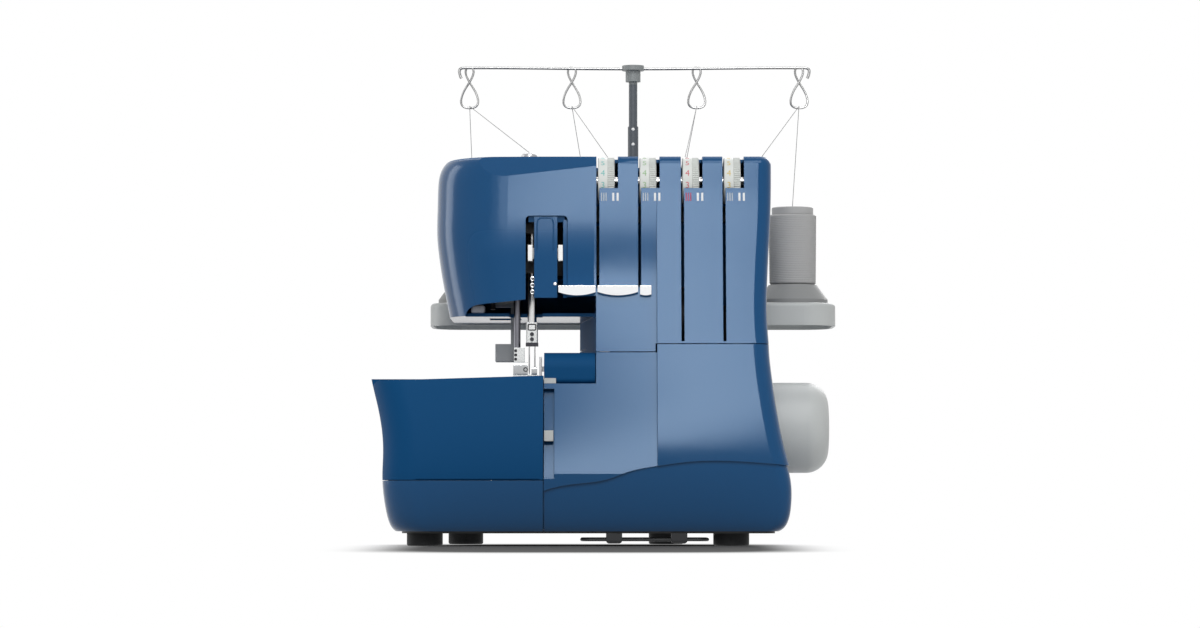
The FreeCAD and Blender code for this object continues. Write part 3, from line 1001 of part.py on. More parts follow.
def thread_stand():
    """Spool stand with pins, holders and cones, and the telescopic pole with its guide bar."""
    front = CASE_REAR + FIT_GAP
    corners = [(STAND_LEFT, front), (STAND_RIGHT, front), (STAND_RIGHT, STAND_REAR),
               (STAND_LEFT, STAND_REAR)]
    outline = rounded_outline([V(x, y, STAND_LOW) for x, y in corners], [STAND_CORNER] * 4)
    tray = Part.Face(outline).extrude(V(0, 0, STAND_TOP - STAND_LOW))
    tray = tray.makeFillet(3.0, [e for e in tray.Edges if e.BoundBox.ZMin > STAND_TOP - 0.1])
    inner_left, inner_right = STAND_LEFT + STAND_WALL, STAND_RIGHT - STAND_WALL
    inner_front, inner_rear = front + STAND_WALL, STAND_REAR - STAND_WALL
    inner = [(inner_left, inner_front), (inner_right, inner_front),
             (inner_right, inner_rear), (inner_left, inner_rear)]
    inner_outline = rounded_outline([V(x, y, STAND_LOW) for x, y in inner], [STAND_CORNER - STAND_WALL] * 4)
    hollow = Part.Face(inner_outline).extrude(V(0, 0, STAND_TOP - STAND_LOW - STAND_WALL))
    tray = tray.cut(hollow)
    bosses = [cyl_z(POLE_X + dx, POLE_Y, STAND_BOSS, STAND_LOW + STAND_WALL, STAND_TOP - STAND_WALL)
              for dx in CONE_OFFSETS]
    save("spool_stand", [fuse([tray] + bosses)])

    pins = []
    holders = []
    cones = []
    for dx in CONE_OFFSETS:
        x = POLE_X + dx
        pins.append(cyl_z(x, POLE_Y, PIN_RADIUS, STAND_TOP, CONE_TOP - CONE_COLLAR))
        base_disc = cyl_z(x, POLE_Y, HOLDER_RADIUS, STAND_TOP, STAND_TOP + HOLDER_RIM)
        taper = Part.makeCone(HOLDER_RADIUS, CONE_RADIUS, HOLDER_HEIGHT - HOLDER_RIM,
                              V(x, POLE_Y, STAND_TOP + HOLDER_RIM), V(0, 0, 1))
        holder = fuse([base_disc, taper])
        holders.append(holder.cut(cyl_z(x, POLE_Y, PIN_RADIUS + SEAT_GAP, STAND_TOP - 1.0,
                                        CONE_BASE + 1.0)))
        body = Part.makeCone(CONE_RADIUS + 0.4, CONE_RADIUS - 0.8, CONE_HEIGHT - CONE_COLLAR,
                             V(x, POLE_Y, CONE_BASE), V(0, 0, 1))
        neck = cyl_z(x, POLE_Y, CONE_NECK, CONE_TOP - CONE_COLLAR, CONE_TOP)
        cones.append(fuse([body, neck]).cut(cyl_z(x, POLE_Y, CONE_BORE, CONE_BASE - 1.0, CONE_TOP + 1.0)))
    save("spool_pins", pins)
    save("cone_holders", holders)
    save("thread_cones", cones)

    tube = fuse([cyl_z(POLE_X, POLE_Y, POLE_RADIUS, STAND_TOP, POLE_JOIN),
                 cyl_z(POLE_X, POLE_Y, POLE_FOOT_RADIUS, STAND_TOP, STAND_TOP + POLE_FOOT_HEIGHT)])
    save("pole_lower", [tube.cut(cyl_z(POLE_X, POLE_Y, ROD_RADIUS + RUN_GAP, STAND_TOP + 2.0,
                                       POLE_JOIN + 1.0))])
    cap_low = BAR_Z - CAP_HEIGHT / 2
    pole = fuse([cyl_z(POLE_X, POLE_Y, ROD_RADIUS, ROD_LOW, ROD_TOP),
                 cyl_z(POLE_X, POLE_Y, COLLAR_RADIUS, cap_low - COLLAR_HEIGHT, cap_low),
                 cyl_z(POLE_X, POLE_Y, CAP_RADIUS, cap_low, cap_low + CAP_HEIGHT)])

    low = BAR_Z - BAR_DROP
    shoulder = BAR_Z - BAR_BEND
    bend_mid = BAR_BEND * (1.0 - math.sqrt(0.5))
    left_end, left_low = V(BAR_LEFT, POLE_Y, low), V(BAR_LEFT, POLE_Y, shoulder)
    right_end, right_low = V(BAR_RIGHT, POLE_Y, low), V(BAR_RIGHT, POLE_Y, shoulder)
    left_high = V(BAR_LEFT + BAR_BEND, POLE_Y, BAR_Z)
    right_high = V(BAR_RIGHT - BAR_BEND, POLE_Y, BAR_Z)
    left_mid = V(BAR_LEFT + bend_mid, POLE_Y, BAR_Z - bend_mid)
    right_mid = V(BAR_RIGHT - bend_mid, POLE_Y, BAR_Z - bend_mid)
    path = Part.Wire([Part.LineSegment(left_end, left_low).toShape(),
                      Part.Arc(left_low, left_mid, left_high).toShape(),
                      Part.LineSegment(left_high, right_high).toShape(),
                      Part.Arc(right_high, right_mid, right_low).toShape(),
                      Part.LineSegment(right_low, right_end).toShape()])
    bar = pipe(path, BAR_WIRE)
    hooks = [hook(POLE_X + dx) for dx in HOOK_OFFSETS]
    save("thread_guide_bar", [fuse([bar] + hooks)])
    groove = cyl_x(POLE_Y, BAR_Z, BAR_WIRE + SEAT_GAP, BAR_LEFT, BAR_RIGHT)
    save("pole_upper", [pole.cut(groove)])


def hook(x):
    """Wire hook under the guide bar: a small ring, and a drop-shaped loop that the thread passes."""
    ring_z = BAR_Z - BAR_WIRE - RING_RADIUS
    right, left = V(x + RING_RADIUS, POLE_Y, ring_z), V(x - RING_RADIUS, POLE_Y, ring_z)
    above, below = V(x, POLE_Y, ring_z + RING_RADIUS), V(x, POLE_Y, ring_z - RING_RADIUS)
    circle = Part.Wire([Part.Arc(right, above, left).toShape(), Part.Arc(left, below, right).toShape()])
    ring = pipe(circle, HOOK_WIRE)
    low_z = HOOK_LOW + HOOK_WIDTH
    top_z = ring_z - RING_RADIUS - HOOK_TOP_RADIUS
    lean = math.asin((HOOK_WIDTH - HOOK_TOP_RADIUS) / (top_z - low_z))
    cos_lean, sin_lean = math.cos(lean), math.sin(lean)
    low_right = V(x + HOOK_WIDTH * cos_lean, POLE_Y, low_z + HOOK_WIDTH * sin_lean)
    low_left = V(x - HOOK_WIDTH * cos_lean, POLE_Y, low_z + HOOK_WIDTH * sin_lean)
    top_left = V(x - HOOK_TOP_RADIUS * cos_lean, POLE_Y, top_z + HOOK_TOP_RADIUS * sin_lean)
    top_right = V(x + HOOK_TOP_RADIUS * cos_lean, POLE_Y, top_z + HOOK_TOP_RADIUS * sin_lean)
    path = Part.Wire([Part.LineSegment(top_right, low_right).toShape(),
                      Part.Arc(low_right, V(x, POLE_Y, HOOK_LOW), low_left).toShape(),
                      Part.LineSegment(low_left, top_left).toShape(),
                      Part.Arc(top_left, V(x, POLE_Y, top_z + HOOK_TOP_RADIUS), top_right).toShape()])
    return fuse([ring, pipe(path, HOOK_WIRE)])


def threads():
    """Taut threads: from each cone up to its hook, and from the hook down to its guide or dial."""
    lift = HOOK_LOW + HOOK_WIRE + THREAD_RADIUS + FREE_GAP
    above_dial = DIAL_Z + DIAL_RADIUS + THREAD_RADIUS + FREE_GAP
    targets = [V(DOME_X, DIAL_Y + 2.0, CASE_TOP + DOME_HEIGHT + 0.5),
               V(DIAL_CENTRES[0] + 1.0, DIAL_Y, above_dial),
               V(DIAL_CENTRES[2] - 4.0, DIAL_Y, above_dial), V(EYELET[0], CASE_REAR + 3.0, EYELET[1])]
    beside = V(0.0, HOOK_WIRE + THREAD_RADIUS + FREE_GAP, 0.0)
    rear = []
    front = []
    for dx_cone, dx_hook, target in zip(CONE_OFFSETS, HOOK_OFFSETS, targets):
        crown = V(POLE_X + dx_hook, POLE_Y, lift)
        rear.append(rod(V(POLE_X + dx_cone, POLE_Y, CONE_TOP + FREE_GAP), crown + beside, THREAD_RADIUS))
        front.append(rod(crown - beside, target, THREAD_RADIUS))
    save("thread_rear_runs", rear)
    save("thread_front_runs", front)


os.makedirs("parts", exist_ok=True)
upper_outside = casing()
base()
frame()
drive()
controls()
needle_drive()
tongue()
presser()
stitch_plate()
guides(upper_outside)
thread_stand()
threads()
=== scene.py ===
"""Overlock sewing machine: the looks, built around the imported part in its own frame."""
import math

import bmesh
import bpy
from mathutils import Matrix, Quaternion, Vector
from mathutils.bvhtree import BVHTree


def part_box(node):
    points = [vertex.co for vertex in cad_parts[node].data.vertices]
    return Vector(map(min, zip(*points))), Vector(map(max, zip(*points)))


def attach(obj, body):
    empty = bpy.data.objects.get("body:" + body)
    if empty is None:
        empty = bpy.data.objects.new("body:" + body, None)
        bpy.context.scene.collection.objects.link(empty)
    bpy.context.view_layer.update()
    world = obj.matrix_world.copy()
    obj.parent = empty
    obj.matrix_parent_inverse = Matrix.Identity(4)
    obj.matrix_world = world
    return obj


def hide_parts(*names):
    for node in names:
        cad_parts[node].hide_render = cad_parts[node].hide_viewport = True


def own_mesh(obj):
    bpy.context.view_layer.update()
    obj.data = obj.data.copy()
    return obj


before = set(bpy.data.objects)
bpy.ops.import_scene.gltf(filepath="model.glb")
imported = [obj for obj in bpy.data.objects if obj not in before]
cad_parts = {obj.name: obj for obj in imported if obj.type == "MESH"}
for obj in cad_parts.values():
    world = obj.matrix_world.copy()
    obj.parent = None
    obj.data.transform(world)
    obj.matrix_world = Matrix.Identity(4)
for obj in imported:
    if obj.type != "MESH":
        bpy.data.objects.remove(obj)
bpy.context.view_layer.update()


# Base plate and feet.
# A stamped steel plate, painted black, closes the machine from below.
# Four turned rubber feet are screwed to it.
NOISE_RANGE = (0.3, 0.7)
DRIFT_SCALE = 14.0
EDGE_SAMPLES = 4
EDGE_TURN = (0.99, 0.8)
# Edges are painted paler towards this grey: a painted highlight along them, and rubbed wear.
EDGE_HIGHLIGHT_AND_RUB_GREY = 0.6
EDGE_HIGHLIGHT_AND_RUB_SHARE = 0.25
COLOUR_SOCKETS = (6, 7)
COLOUR_RESULT = 2


def fill(tree, node, settings):
    """Set a node's sockets, each to a constant or to the output that leads it."""
    for socket, value in settings.items():
        if isinstance(value, (float, tuple)):
            node.inputs[socket].default_value = value
        else:
            tree.links.new(value, node.inputs[socket])


def add(tree, kind, settings=None, **choices):
    """New node; choices are its own options, and settings are its sockets."""
    node = tree.nodes.new("ShaderNode" + kind)
    for choice, value in choices.items():
        setattr(node, choice, value)
    fill(tree, node, settings or {})
    return node


def worked(tree, kind, first, second):
    """What comes out of two numbers: a product or a power, or 1 where a test holds."""
    return add(tree, "Math", {0: first, 1: second}, operation=kind).outputs["Value"]


def joined(tree, kind, first, second):
    """Outputs of a node that works on two vectors."""
    return add(tree, "VectorMath", {0: first, 1: second}, operation=kind).outputs


def ramp(tree, value, start, end, low=0.0, high=1.0, **choices):
    """Number that goes from low to high while value goes from start to end."""
    settings = {"Value": value, "From Min": start, "From Max": end, "To Min": low, "To Max": high}
    return add(tree, "MapRange", settings, **choices).outputs["Result"]


def mix_colours(tree, factor, first, second):
    """Colour that goes from first to second while factor goes from 0 to 1."""
    mix = add(tree, "Mix", {"Factor": factor}, data_type="RGBA")
    fill(tree, mix, dict(zip(COLOUR_SOCKETS, (first, second))))
    return mix.outputs[COLOUR_RESULT]


def shade_of(colour, share):
    """Colour made darker or paler by a share."""
    return tuple(min(1.0, c * share) for c in colour) + (1.0,)


def start_finish(name):
    """New material, with its nodes and its shader."""
    finish = bpy.data.materials.new(name)
    finish.use_nodes = True
    tree = finish.node_tree
    return finish, tree, tree.nodes["Principled BSDF"]


def rounded_edges(tree, radius, most=1.0):
    """Normal that rolls over sharp edges, and a mask that rises to most along them."""
    rolled = add(tree, "Bevel", {"Radius": radius}, samples=EDGE_SAMPLES).outputs["Normal"]
    flat = add(tree, "NewGeometry").outputs["Normal"]
    turn = joined(tree, "DOT_PRODUCT", rolled, flat)["Value"]
    return rolled, ramp(tree, turn, *EDGE_TURN, high=most)


def moulded(name, colour, roughness, gloss=0.3, grain=1500.0, depth=0.00004, drift=0.05,
            spread=0.04, highlight_and_rub=0.3, radius=0.0006, upper=None, sheen=(1.0, 1.0, 1.0)):
    """Moulded plastic or rubber: fine grain, slow drift of colour and gloss, edges paler by painted
    highlight and wear.

    upper is a height and the colour of what stands above it; sheen tints the highlights.
    """
    finish, tree, shader = start_finish(name)
    place = add(tree, "TexCoord").outputs["Object"]
    fine = add(tree, "TexNoise", {"Vector": place, "Scale": grain, "Detail": 3.0}).outputs["Fac"]
    broad = add(tree, "TexNoise", {"Vector": place, "Scale": DRIFT_SCALE, "Detail": 4.0})
    broad = broad.outputs["Fac"]
    rolled, edge_highlight = rounded_edges(tree, radius, highlight_and_rub)
    body = mix_colours(tree, broad, shade_of(colour, 1.0 - drift), shade_of(colour, 1.0 + drift))
    if upper:
        height, above = upper
        level = add(tree, "SeparateXYZ", {"Vector": place}).outputs["Z"]
        step = worked(tree, "GREATER_THAN", level, height)
        body = mix_colours(tree, step, body, shade_of(above, 1.0))
    # Paler edge colour: a painted highlight along the edges, and rubbed wear.
    highlight_and_rub_colour = tuple(c + EDGE_HIGHLIGHT_AND_RUB_SHARE * (EDGE_HIGHLIGHT_AND_RUB_GREY - c) for c in colour) + (1.0,)
    bump = add(tree, "Bump", {"Strength": 0.5, "Distance": depth, "Height": fine, "Normal": rolled})
    fill(tree, shader, {
        "Base Color": mix_colours(tree, edge_highlight, body, highlight_and_rub_colour),
        "Roughness": ramp(tree, broad, *NOISE_RANGE, roughness - spread, roughness + spread),
        "Specular IOR Level": gloss,
        "Specular Tint": (*sheen, 1.0),
        "Normal": bump.outputs["Normal"],
    })
    return finish


def dress(finish, *names):
    """Give carried-over nodes of the part their finish."""
    for name in names:
        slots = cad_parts[name].data.materials
        slots.clear()
        slots.append(finish)


rubber = moulded("black_rubber", colour=(0.010, 0.011, 0.012), roughness=0.6, gloss=0.2,
                 grain=700.0, depth=0.00012, highlight_and_rub=0.08)
painted_steel = moulded("painted_steel", colour=(0.016, 0.018, 0.02), roughness=0.42,
                        grain=500.0, depth=0.00006, highlight_and_rub=0.1)
dress(rubber, "rubber_feet")
dress(painted_steel, "base_plate")


# Accessory rail.
# A loop of black wire hangs under the front edge in two moulded clips.
black_plastic = moulded("black_plastic", colour=(0.014, 0.015, 0.017), roughness=0.4, highlight_and_rub=0.15)
dress(painted_steel, "accessory_rail")
dress(black_plastic, "rail_clips")


# Cast frame with its bushes.
# Aluminium casting, sand-textured and painted dark, with sintered bronze bushes pressed in.
# Its dark colour is also painted shade, so that the frame seen through the slots looks black.
METAL_DRIFT = (0.94, 1.04)
METAL_DRIFT_SCALE = 40.0
# Edges are painted this much brighter: a painted highlight.
METAL_EDGE_HIGHLIGHT = 1.2


def metal(name, colour, roughness, stretch=(1.0, 1.0, 1.0), scale=900.0, depth=0.00002,
          spread=0.05, radius=0.0004):
    """Metal with a fine tooled grain, drawn out along the axes whose stretch is small."""
    finish, tree, shader = start_finish(name)
    place = add(tree, "TexCoord").outputs["Object"]
    drawn = add(tree, "Mapping", {"Vector": place, "Scale": stretch}).outputs["Vector"]
    fine = add(tree, "TexNoise", {"Vector": drawn, "Scale": scale, "Detail": 4.0}).outputs["Fac"]
    broad = add(tree, "TexNoise", {"Vector": place, "Scale": METAL_DRIFT_SCALE, "Detail": 2.0})
    rolled, edge_highlight = rounded_edges(tree, radius)
    body = mix_colours(tree, broad.outputs["Fac"], *(shade_of(colour, s) for s in METAL_DRIFT))
    bump = add(tree, "Bump", {"Strength": 0.4, "Distance": depth, "Height": fine, "Normal": rolled})
    # Brighter colour along the edges is a painted highlight.
    fill(tree, shader, {
        "Metallic": 1.0,
        "Base Color": mix_colours(tree, edge_highlight, body, shade_of(colour, METAL_EDGE_HIGHLIGHT)),
        "Roughness": ramp(tree, fine, *NOISE_RANGE, roughness - spread, roughness + spread),
        "Normal": bump.outputs["Normal"],
    })
    return finish


# Dark partly as painted shade, for the frame seen through the slots.
cast_alloy = moulded("cast_alloy", colour=(0.045, 0.047, 0.05), roughness=0.55, gloss=0.15,
                     grain=500.0, depth=0.0002, highlight_and_rub=0.1)
bronze = metal("bronze", colour=(0.52, 0.33, 0.14), roughness=0.35, scale=1200.0)
dress(cast_alloy, "main_frame")
dress(bronze, "bronze_bushes")


# Drive inside the column and the handwheel on its shaft.
# Ground steel shaft, pressed motor can, moulded pulleys and a rubber belt.
# The handwheel is a thick grey moulding pushed on the shaft's right end.
ground_steel = metal("ground_steel", colour=(0.62, 0.62, 0.62), roughness=0.22,
                     stretch=(0.05, 1.0, 1.0), scale=1500.0)
blackened_steel = metal("blackened_steel", colour=(0.04, 0.04, 0.045), roughness=0.4)
grey_casing = moulded("grey_casing", colour=(0.43, 0.445, 0.44), roughness=0.4, gloss=0.25,
                      drift=0.015, spread=0.03)
dress(ground_steel, "main_shaft")
dress(blackened_steel, "motor")
dress(black_plastic, "motor_pulley", "shaft_pulley")
dress(rubber, "drive_belt")
dress(grey_casing, "handwheel")


# Casing.
# Blue mouldings, clipped and screwed together round the frame with half a millimetre between them.
# The throat wall, the head's lower front and faces that look up are matt, the rest polished.
CASING_TEXTURE = {"colour": (0.005, 0.053, 0.147), "sheen": (0.62, 0.79, 1.0), "grain": 1800.0,
                  "depth": 0.00001, "drift": 0.012, "spread": 0.01, "highlight_and_rub": 0.12, "radius": 0.0005}
MATT_ROUGHNESS = 0.75
THROAT = (-0.030, -0.006)
THROAT_FACING = -0.6
HEAD_FADE = (0.214, 0.246)
HEAD_TURN = (-0.97, -0.75)
HEAD_RIGHT = -0.012
HEAD_LOW = 0.160
UP_TURN = (0.95, 0.7)


def casing_place(tree):
    """X, Y and Z of a place on the casing, of its flat face's normal and of its smoothed normal."""
    sockets = []
    for kind, output in (("TexCoord", "Object"), ("NewGeometry", "True Normal"),
                         ("NewGeometry", "Normal")):
        vector = add(tree, kind).outputs[output]
        sockets.append(add(tree, "SeparateXYZ", {"Vector": vector}).outputs)
    return sockets


def fade_between(tree, value, full, none):
    """1 at full, 0 at none, and a smooth change between them."""
    return ramp(tree, value, none, full, interpolation_type="SMOOTHSTEP")


def roughen(finish, factors):
    """Matt texture where every factor is 1."""
    tree = finish.node_tree
    shader = tree.nodes["Principled BSDF"]
    polished = shader.inputs["Roughness"].links[0].from_socket
    mask = factors[0]
    for factor in factors[1:]:
        mask = worked(tree, "MULTIPLY", mask, factor)
    fill(tree, shader, {"Roughness": ramp(tree, mask, 0.0, 1.0, polished, MATT_ROUGHNESS)})


blue_casing = moulded("blue_casing", roughness=0.16, gloss=0.28, **CASING_TEXTURE)
tree = blue_casing.node_tree
place, face, smooth = casing_place(tree)
roughen(blue_casing, [worked(tree, "LESS_THAN", face["X"], THROAT_FACING),
                      worked(tree, "GREATER_THAN", place["X"], THROAT[0]),
                      worked(tree, "LESS_THAN", place["X"], THROAT[1])])
roughen(blue_casing, [fade_between(tree, place["Z"], *HEAD_FADE),
                      fade_between(tree, smooth["Y"], *HEAD_TURN),
                      worked(tree, "LESS_THAN", place["X"], HEAD_RIGHT),
                      worked(tree, "GREATER_THAN", place["Z"], HEAD_LOW)])
roughen(blue_casing, [fade_between(tree, smooth["Z"], *UP_TURN)])
satin_casing = moulded("satin_casing", roughness=0.5, gloss=0.05, **CASING_TEXTURE)
dress(blue_casing, "upper_front_cover", "upper_rear_cover", "lower_front_cover",
      "lower_rear_cover", "base_left_cover")
dress(satin_casing, "looper_cover", "bed_extension", "cloth_plate", "knife_housing")
dress(grey_casing, "cover_catch", "cover_stop")


# Screws of the rear covers.
# Pan-headed steel screws, each with a straight slot cut across its head.
SCREW_RADIUS = 0.0035
SCREW_HEIGHT = 0.002
SCREW_SLOT = 0.0009
SCREW_PLACES = ((-0.035, 0.060), (0.104, 0.062), (-0.095, 0.250), (0.085, 0.250))
SCREW_SIDES = 32
SCREW_BOW_STEPS = 14
SCREW_DISC = 0.5
SCREW_MOONS = ((1.0, 0.5, 0.75), (0.86, 0.75, 1.0))
CASE_REAR = 0.044
SHARP = math.radians(35.0)
WELD = 0.000001


def put(name, work, finish, body):
    """Set a bmesh in the scene as one piece of the machine, smooth but for its sharp edges."""
    bmesh.ops.remove_doubles(work, verts=work.verts, dist=WELD)
    bmesh.ops.recalc_face_normals(work, faces=work.faces)
    for face in work.faces:
        face.smooth = True
    mesh = bpy.data.meshes.new(name)
    work.to_mesh(mesh)
    work.free()
    mesh.set_sharp_from_angle(angle=SHARP)
    mesh.materials.append(finish)
    piece = bpy.data.objects.new(name, mesh)
    bpy.context.scene.collection.objects.link(piece)
    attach(piece, body)
    return piece


def turns(count):
    """Angles that divide a full turn into equal steps."""
    return [2.0 * math.pi * k / count for k in range(count)]


def prism(work, outline, low, high, placed):
    """Straight solid on a flat outline of (u, v) points, between two levels."""
    floor_ring = [work.verts.new(placed(u, v, low)) for u, v in outline]
    roof_ring = [work.verts.new(placed(u, v, high)) for u, v in outline]
    count = len(outline)
    work.faces.new(floor_ring)
    work.faces.new(roof_ring)
    for i in range(count):
        j = (i + 1) % count
        work.faces.new((floor_ring[i], floor_ring[j], roof_ring[j], roof_ring[i]))


def slotted_head(work, radius, height, slot, placed):
    """Screw head in three steps: a full disc, then half moons beside the slot, smaller on top."""
    disc = [(radius * math.cos(a), radius * math.sin(a)) for a in turns(SCREW_SIDES)]
    prism(work, disc, 0.0, SCREW_DISC * height, placed)
    half_slot = slot / 2.0
    start = math.asin(half_slot / radius)
    steps = range(SCREW_BOW_STEPS + 1)
    bow = [start + (math.pi - 2.0 * start) * k / SCREW_BOW_STEPS for k in steps]
    for side in (1.0, -1.0):
        for share, low, high in SCREW_MOONS:
            reach = share * radius
            moon = [(reach * math.cos(a), side * max(reach * math.sin(a), half_slot)) for a in bow]
            prism(work, moon, low * height, high * height, placed)


work = bmesh.new()
for screw_x, screw_z in SCREW_PLACES:
    slotted_head(work, SCREW_RADIUS, SCREW_HEIGHT, SCREW_SLOT,
                 lambda u, v, w: (screw_x + u, CASE_REAR + w, screw_z + v))
rear_screws = put("rear_screws", work, ground_steel, "machine")
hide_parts("cover_screws")


# Controls at the back and on the right.
# Black mains inlet and rocker switch, moulded and set in the rear cover.
# The stitch length dial is a grey moulded knob with gripping ribs, on a short stem.
KNOB_THICKNESS = 0.007
KNOB_RIBS = 36
KNOB_ROUND = 0.0012
KNOB_LIP = 0.2
KNOB_RIB_DEPTH = 0.0004
STEM_RADIUS = 0.004
RIB_STEPS = 6


def turned(work, outline, sides, placed, ribs=None, closed=False):
    """Outline of (along, radius) points swept round an axis; ribs adds to a point's radius."""
    rings = []
    for turn in turns(sides):
        reach = [radius + (ribs(along, turn) if ribs else 0.0) for along, radius in outline]
        rings.append([work.verts.new(placed(point[0], r, turn))
                      for point, r in zip(outline, reach)])
    steps = len(outline) if closed else len(outline) - 1
    for ring, after in zip(rings, rings[1:] + rings[:1]):
        for i in range(steps):
            j = (i + 1) % len(outline)
            work.faces.new((ring[i], ring[j], after[j], after[i]))


def round_x(axis_y, axis_z):
    """Places round an axis that runs along X; turn 0 faces the front, a quarter turn is up."""
    def placed(along, radius, turn):
        return along, axis_y - radius * math.cos(turn), axis_z + radius * math.sin(turn)
    return placed


def ribs_between(start, end, depth, count, lowest):
    """Rise of gripping ribs round a knob, between two places along its axis."""
    def rise(along, turn):
        return depth * max(lowest, math.cos(count * turn)) if start < along < end else 0.0
    return rise


dress(black_plastic, "power_inlet", "power_switch")
knob_low, knob_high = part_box("stitch_length_dial")
knob_radius = (knob_high[2] - knob_low[2]) / 2.0
knob_y = (knob_low[1] + knob_high[1]) / 2.0
knob_z = (knob_low[2] + knob_high[2]) / 2.0
knob_face = knob_high[0]
knob_back = knob_face - KNOB_THICKNESS
knob_grip = knob_radius - KNOB_RIB_DEPTH
knob_outline = [(knob_low[0], 0.0), (knob_low[0], STEM_RADIUS), (knob_back, STEM_RADIUS),
                (knob_back, knob_radius - 2.0 * KNOB_ROUND), (knob_back + KNOB_ROUND, knob_grip),
                (knob_face - KNOB_ROUND, knob_grip),
                (knob_face - KNOB_LIP * KNOB_ROUND, knob_radius - 2.0 * KNOB_ROUND),
                (knob_face, knob_radius - 3.0 * KNOB_ROUND), (knob_face, 0.0)]
knob_ribs = ribs_between(knob_back + 0.5 * KNOB_ROUND, knob_face - 0.5 * KNOB_ROUND,
                         KNOB_RIB_DEPTH, KNOB_RIBS, lowest=-1.0)
work = bmesh.new()
turned(work, knob_outline, RIB_STEPS * KNOB_RIBS, round_x(knob_y, knob_z), knob_ribs)
stitch_knob = put("stitch_knob", work, grey_casing, "stitch_dial")
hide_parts("stitch_length_dial")


# Tension dials.
# Ivory mouldings on one steel axle: raised numbers on a plain band, and gripping ribs beside it.
# Each dial's numbers have their own colour.
DIAL_RIBS = 66
RIB_DEPTH = 0.0009
RIB_FALL = 0.0015
RIB_MARGINS = (0.0001, 0.0003)
BAND_END = 0.0011
BAND_EDGE = ((-0.0003, 0.0), (0.0, 0.0004), (0.0002, RIB_DEPTH))
DIAL_ROUND = 0.0006
DIAL_FACE = ((0.0, 0.00305), (0.0, 0.0045), (0.0008, 0.0052), (0.0008, 0.0145), (0.0, 0.0152))
NUMBER_COUNT = 10
NUMBER_AT_FRONT = 3.5
NUMBER_SIZE = 0.00672
NUMBER_PLACE = -0.0026
NUMBER_STEP = math.radians(30.0)
NUMBER_INK = 0.00005
NUMBER_SLICE = 0.0005
NUMBER_CUTS = range(-5, 6)
NUMBER_COLOURS = ((0.16, 0.44, 0.42), (0.28, 0.44, 0.25), (0.52, 0.10, 0.13), (0.60, 0.45, 0.14))
ivory = moulded("ivory_plastic", colour=(0.56, 0.58, 0.56), roughness=0.42, gloss=0.15,
                drift=0.015, highlight_and_rub=0.2, radius=0.0002)
dress(ground_steel, "tension_axle")


def numeral(text):
    """Flat number as a bmesh, cut into slices so that it can be bent round a dial."""
    curve = bpy.data.curves.new("numeral", "FONT")
    curve.body = text
    curve.size = NUMBER_SIZE
    curve.align_x = "CENTER"
    curve.align_y = "CENTER"
    curve.extrude = NUMBER_INK
    curve.resolution_u = 3
    holder = bpy.data.objects.new("numeral", curve)
    mesh = bpy.data.meshes.new_from_object(holder)
    flat = bmesh.new()
    flat.from_mesh(mesh)
    for i in NUMBER_CUTS:
        everything = flat.verts[:] + flat.edges[:] + flat.faces[:]
        bmesh.ops.bisect_plane(flat, geom=everything, plane_co=(0.0, i * NUMBER_SLICE, 0.0),
                               plane_no=(0, 1, 0))
    bpy.data.objects.remove(holder)
    bpy.data.curves.remove(curve)
    bpy.data.meshes.remove(mesh)
    return flat


def dial_numbers(centre, radius):
    """Numbers bent round the plain band of a dial."""
    everything = bmesh.new()
    around = round_x(centre[1], centre[2])
    for count in range(NUMBER_COUNT):
        flat = numeral(str(count))
        start = (count - NUMBER_AT_FRONT) * NUMBER_STEP
        for vert in flat.verts:
            u, v, w = vert.co
            vert.co = around(centre[0] + NUMBER_PLACE + u, radius + w, start + v / radius)
        bent = bpy.data.meshes.new("bent_number")
        flat.to_mesh(bent)
        flat.free()
        everything.from_mesh(bent)
        bpy.data.meshes.remove(bent)
    return everything


for number, colour in enumerate(NUMBER_COLOURS, 1):
    node = "tension_dial_%d" % number
    body = "dial_%d" % number
    low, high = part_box(node)
    radius = (high[2] - low[2]) / 2.0
    half = (high[0] - low[0]) / 2.0
    centre = [(a + b) / 2.0 for a, b in zip(low, high)]
    outline = [(depth - half, r) for depth, r in DIAL_FACE]
    outline += [(-half, radius - DIAL_ROUND), (DIAL_ROUND - half, radius)]
    outline += [(BAND_END + along, radius - drop) for along, drop in BAND_EDGE]
    outline += [(half - DIAL_ROUND, radius - RIB_DEPTH), (half, radius - RIB_FALL)]
    outline += [(half - depth, r) for depth, r in reversed(DIAL_FACE)]
    outline = [(centre[0] + along, r) for along, r in outline]
    dial_ribs = ribs_between(centre[0] + BAND_END + RIB_MARGINS[0],
                             centre[0] + half - RIB_MARGINS[1], RIB_DEPTH, DIAL_RIBS, lowest=0.0)
    work = bmesh.new()
    turned(work, outline, RIB_STEPS * DIAL_RIBS, round_x(centre[1], centre[2]), dial_ribs,
           closed=True)
    disc = put("dial_disc_%d" % number, work, ivory, body)
    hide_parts(node)
    ink = moulded("dial_ink_%d" % number, colour, roughness=0.5, drift=0.02, highlight_and_rub=0.0)
    put("dial_numbers_%d" % number, dial_numbers(centre, radius), ink, body)


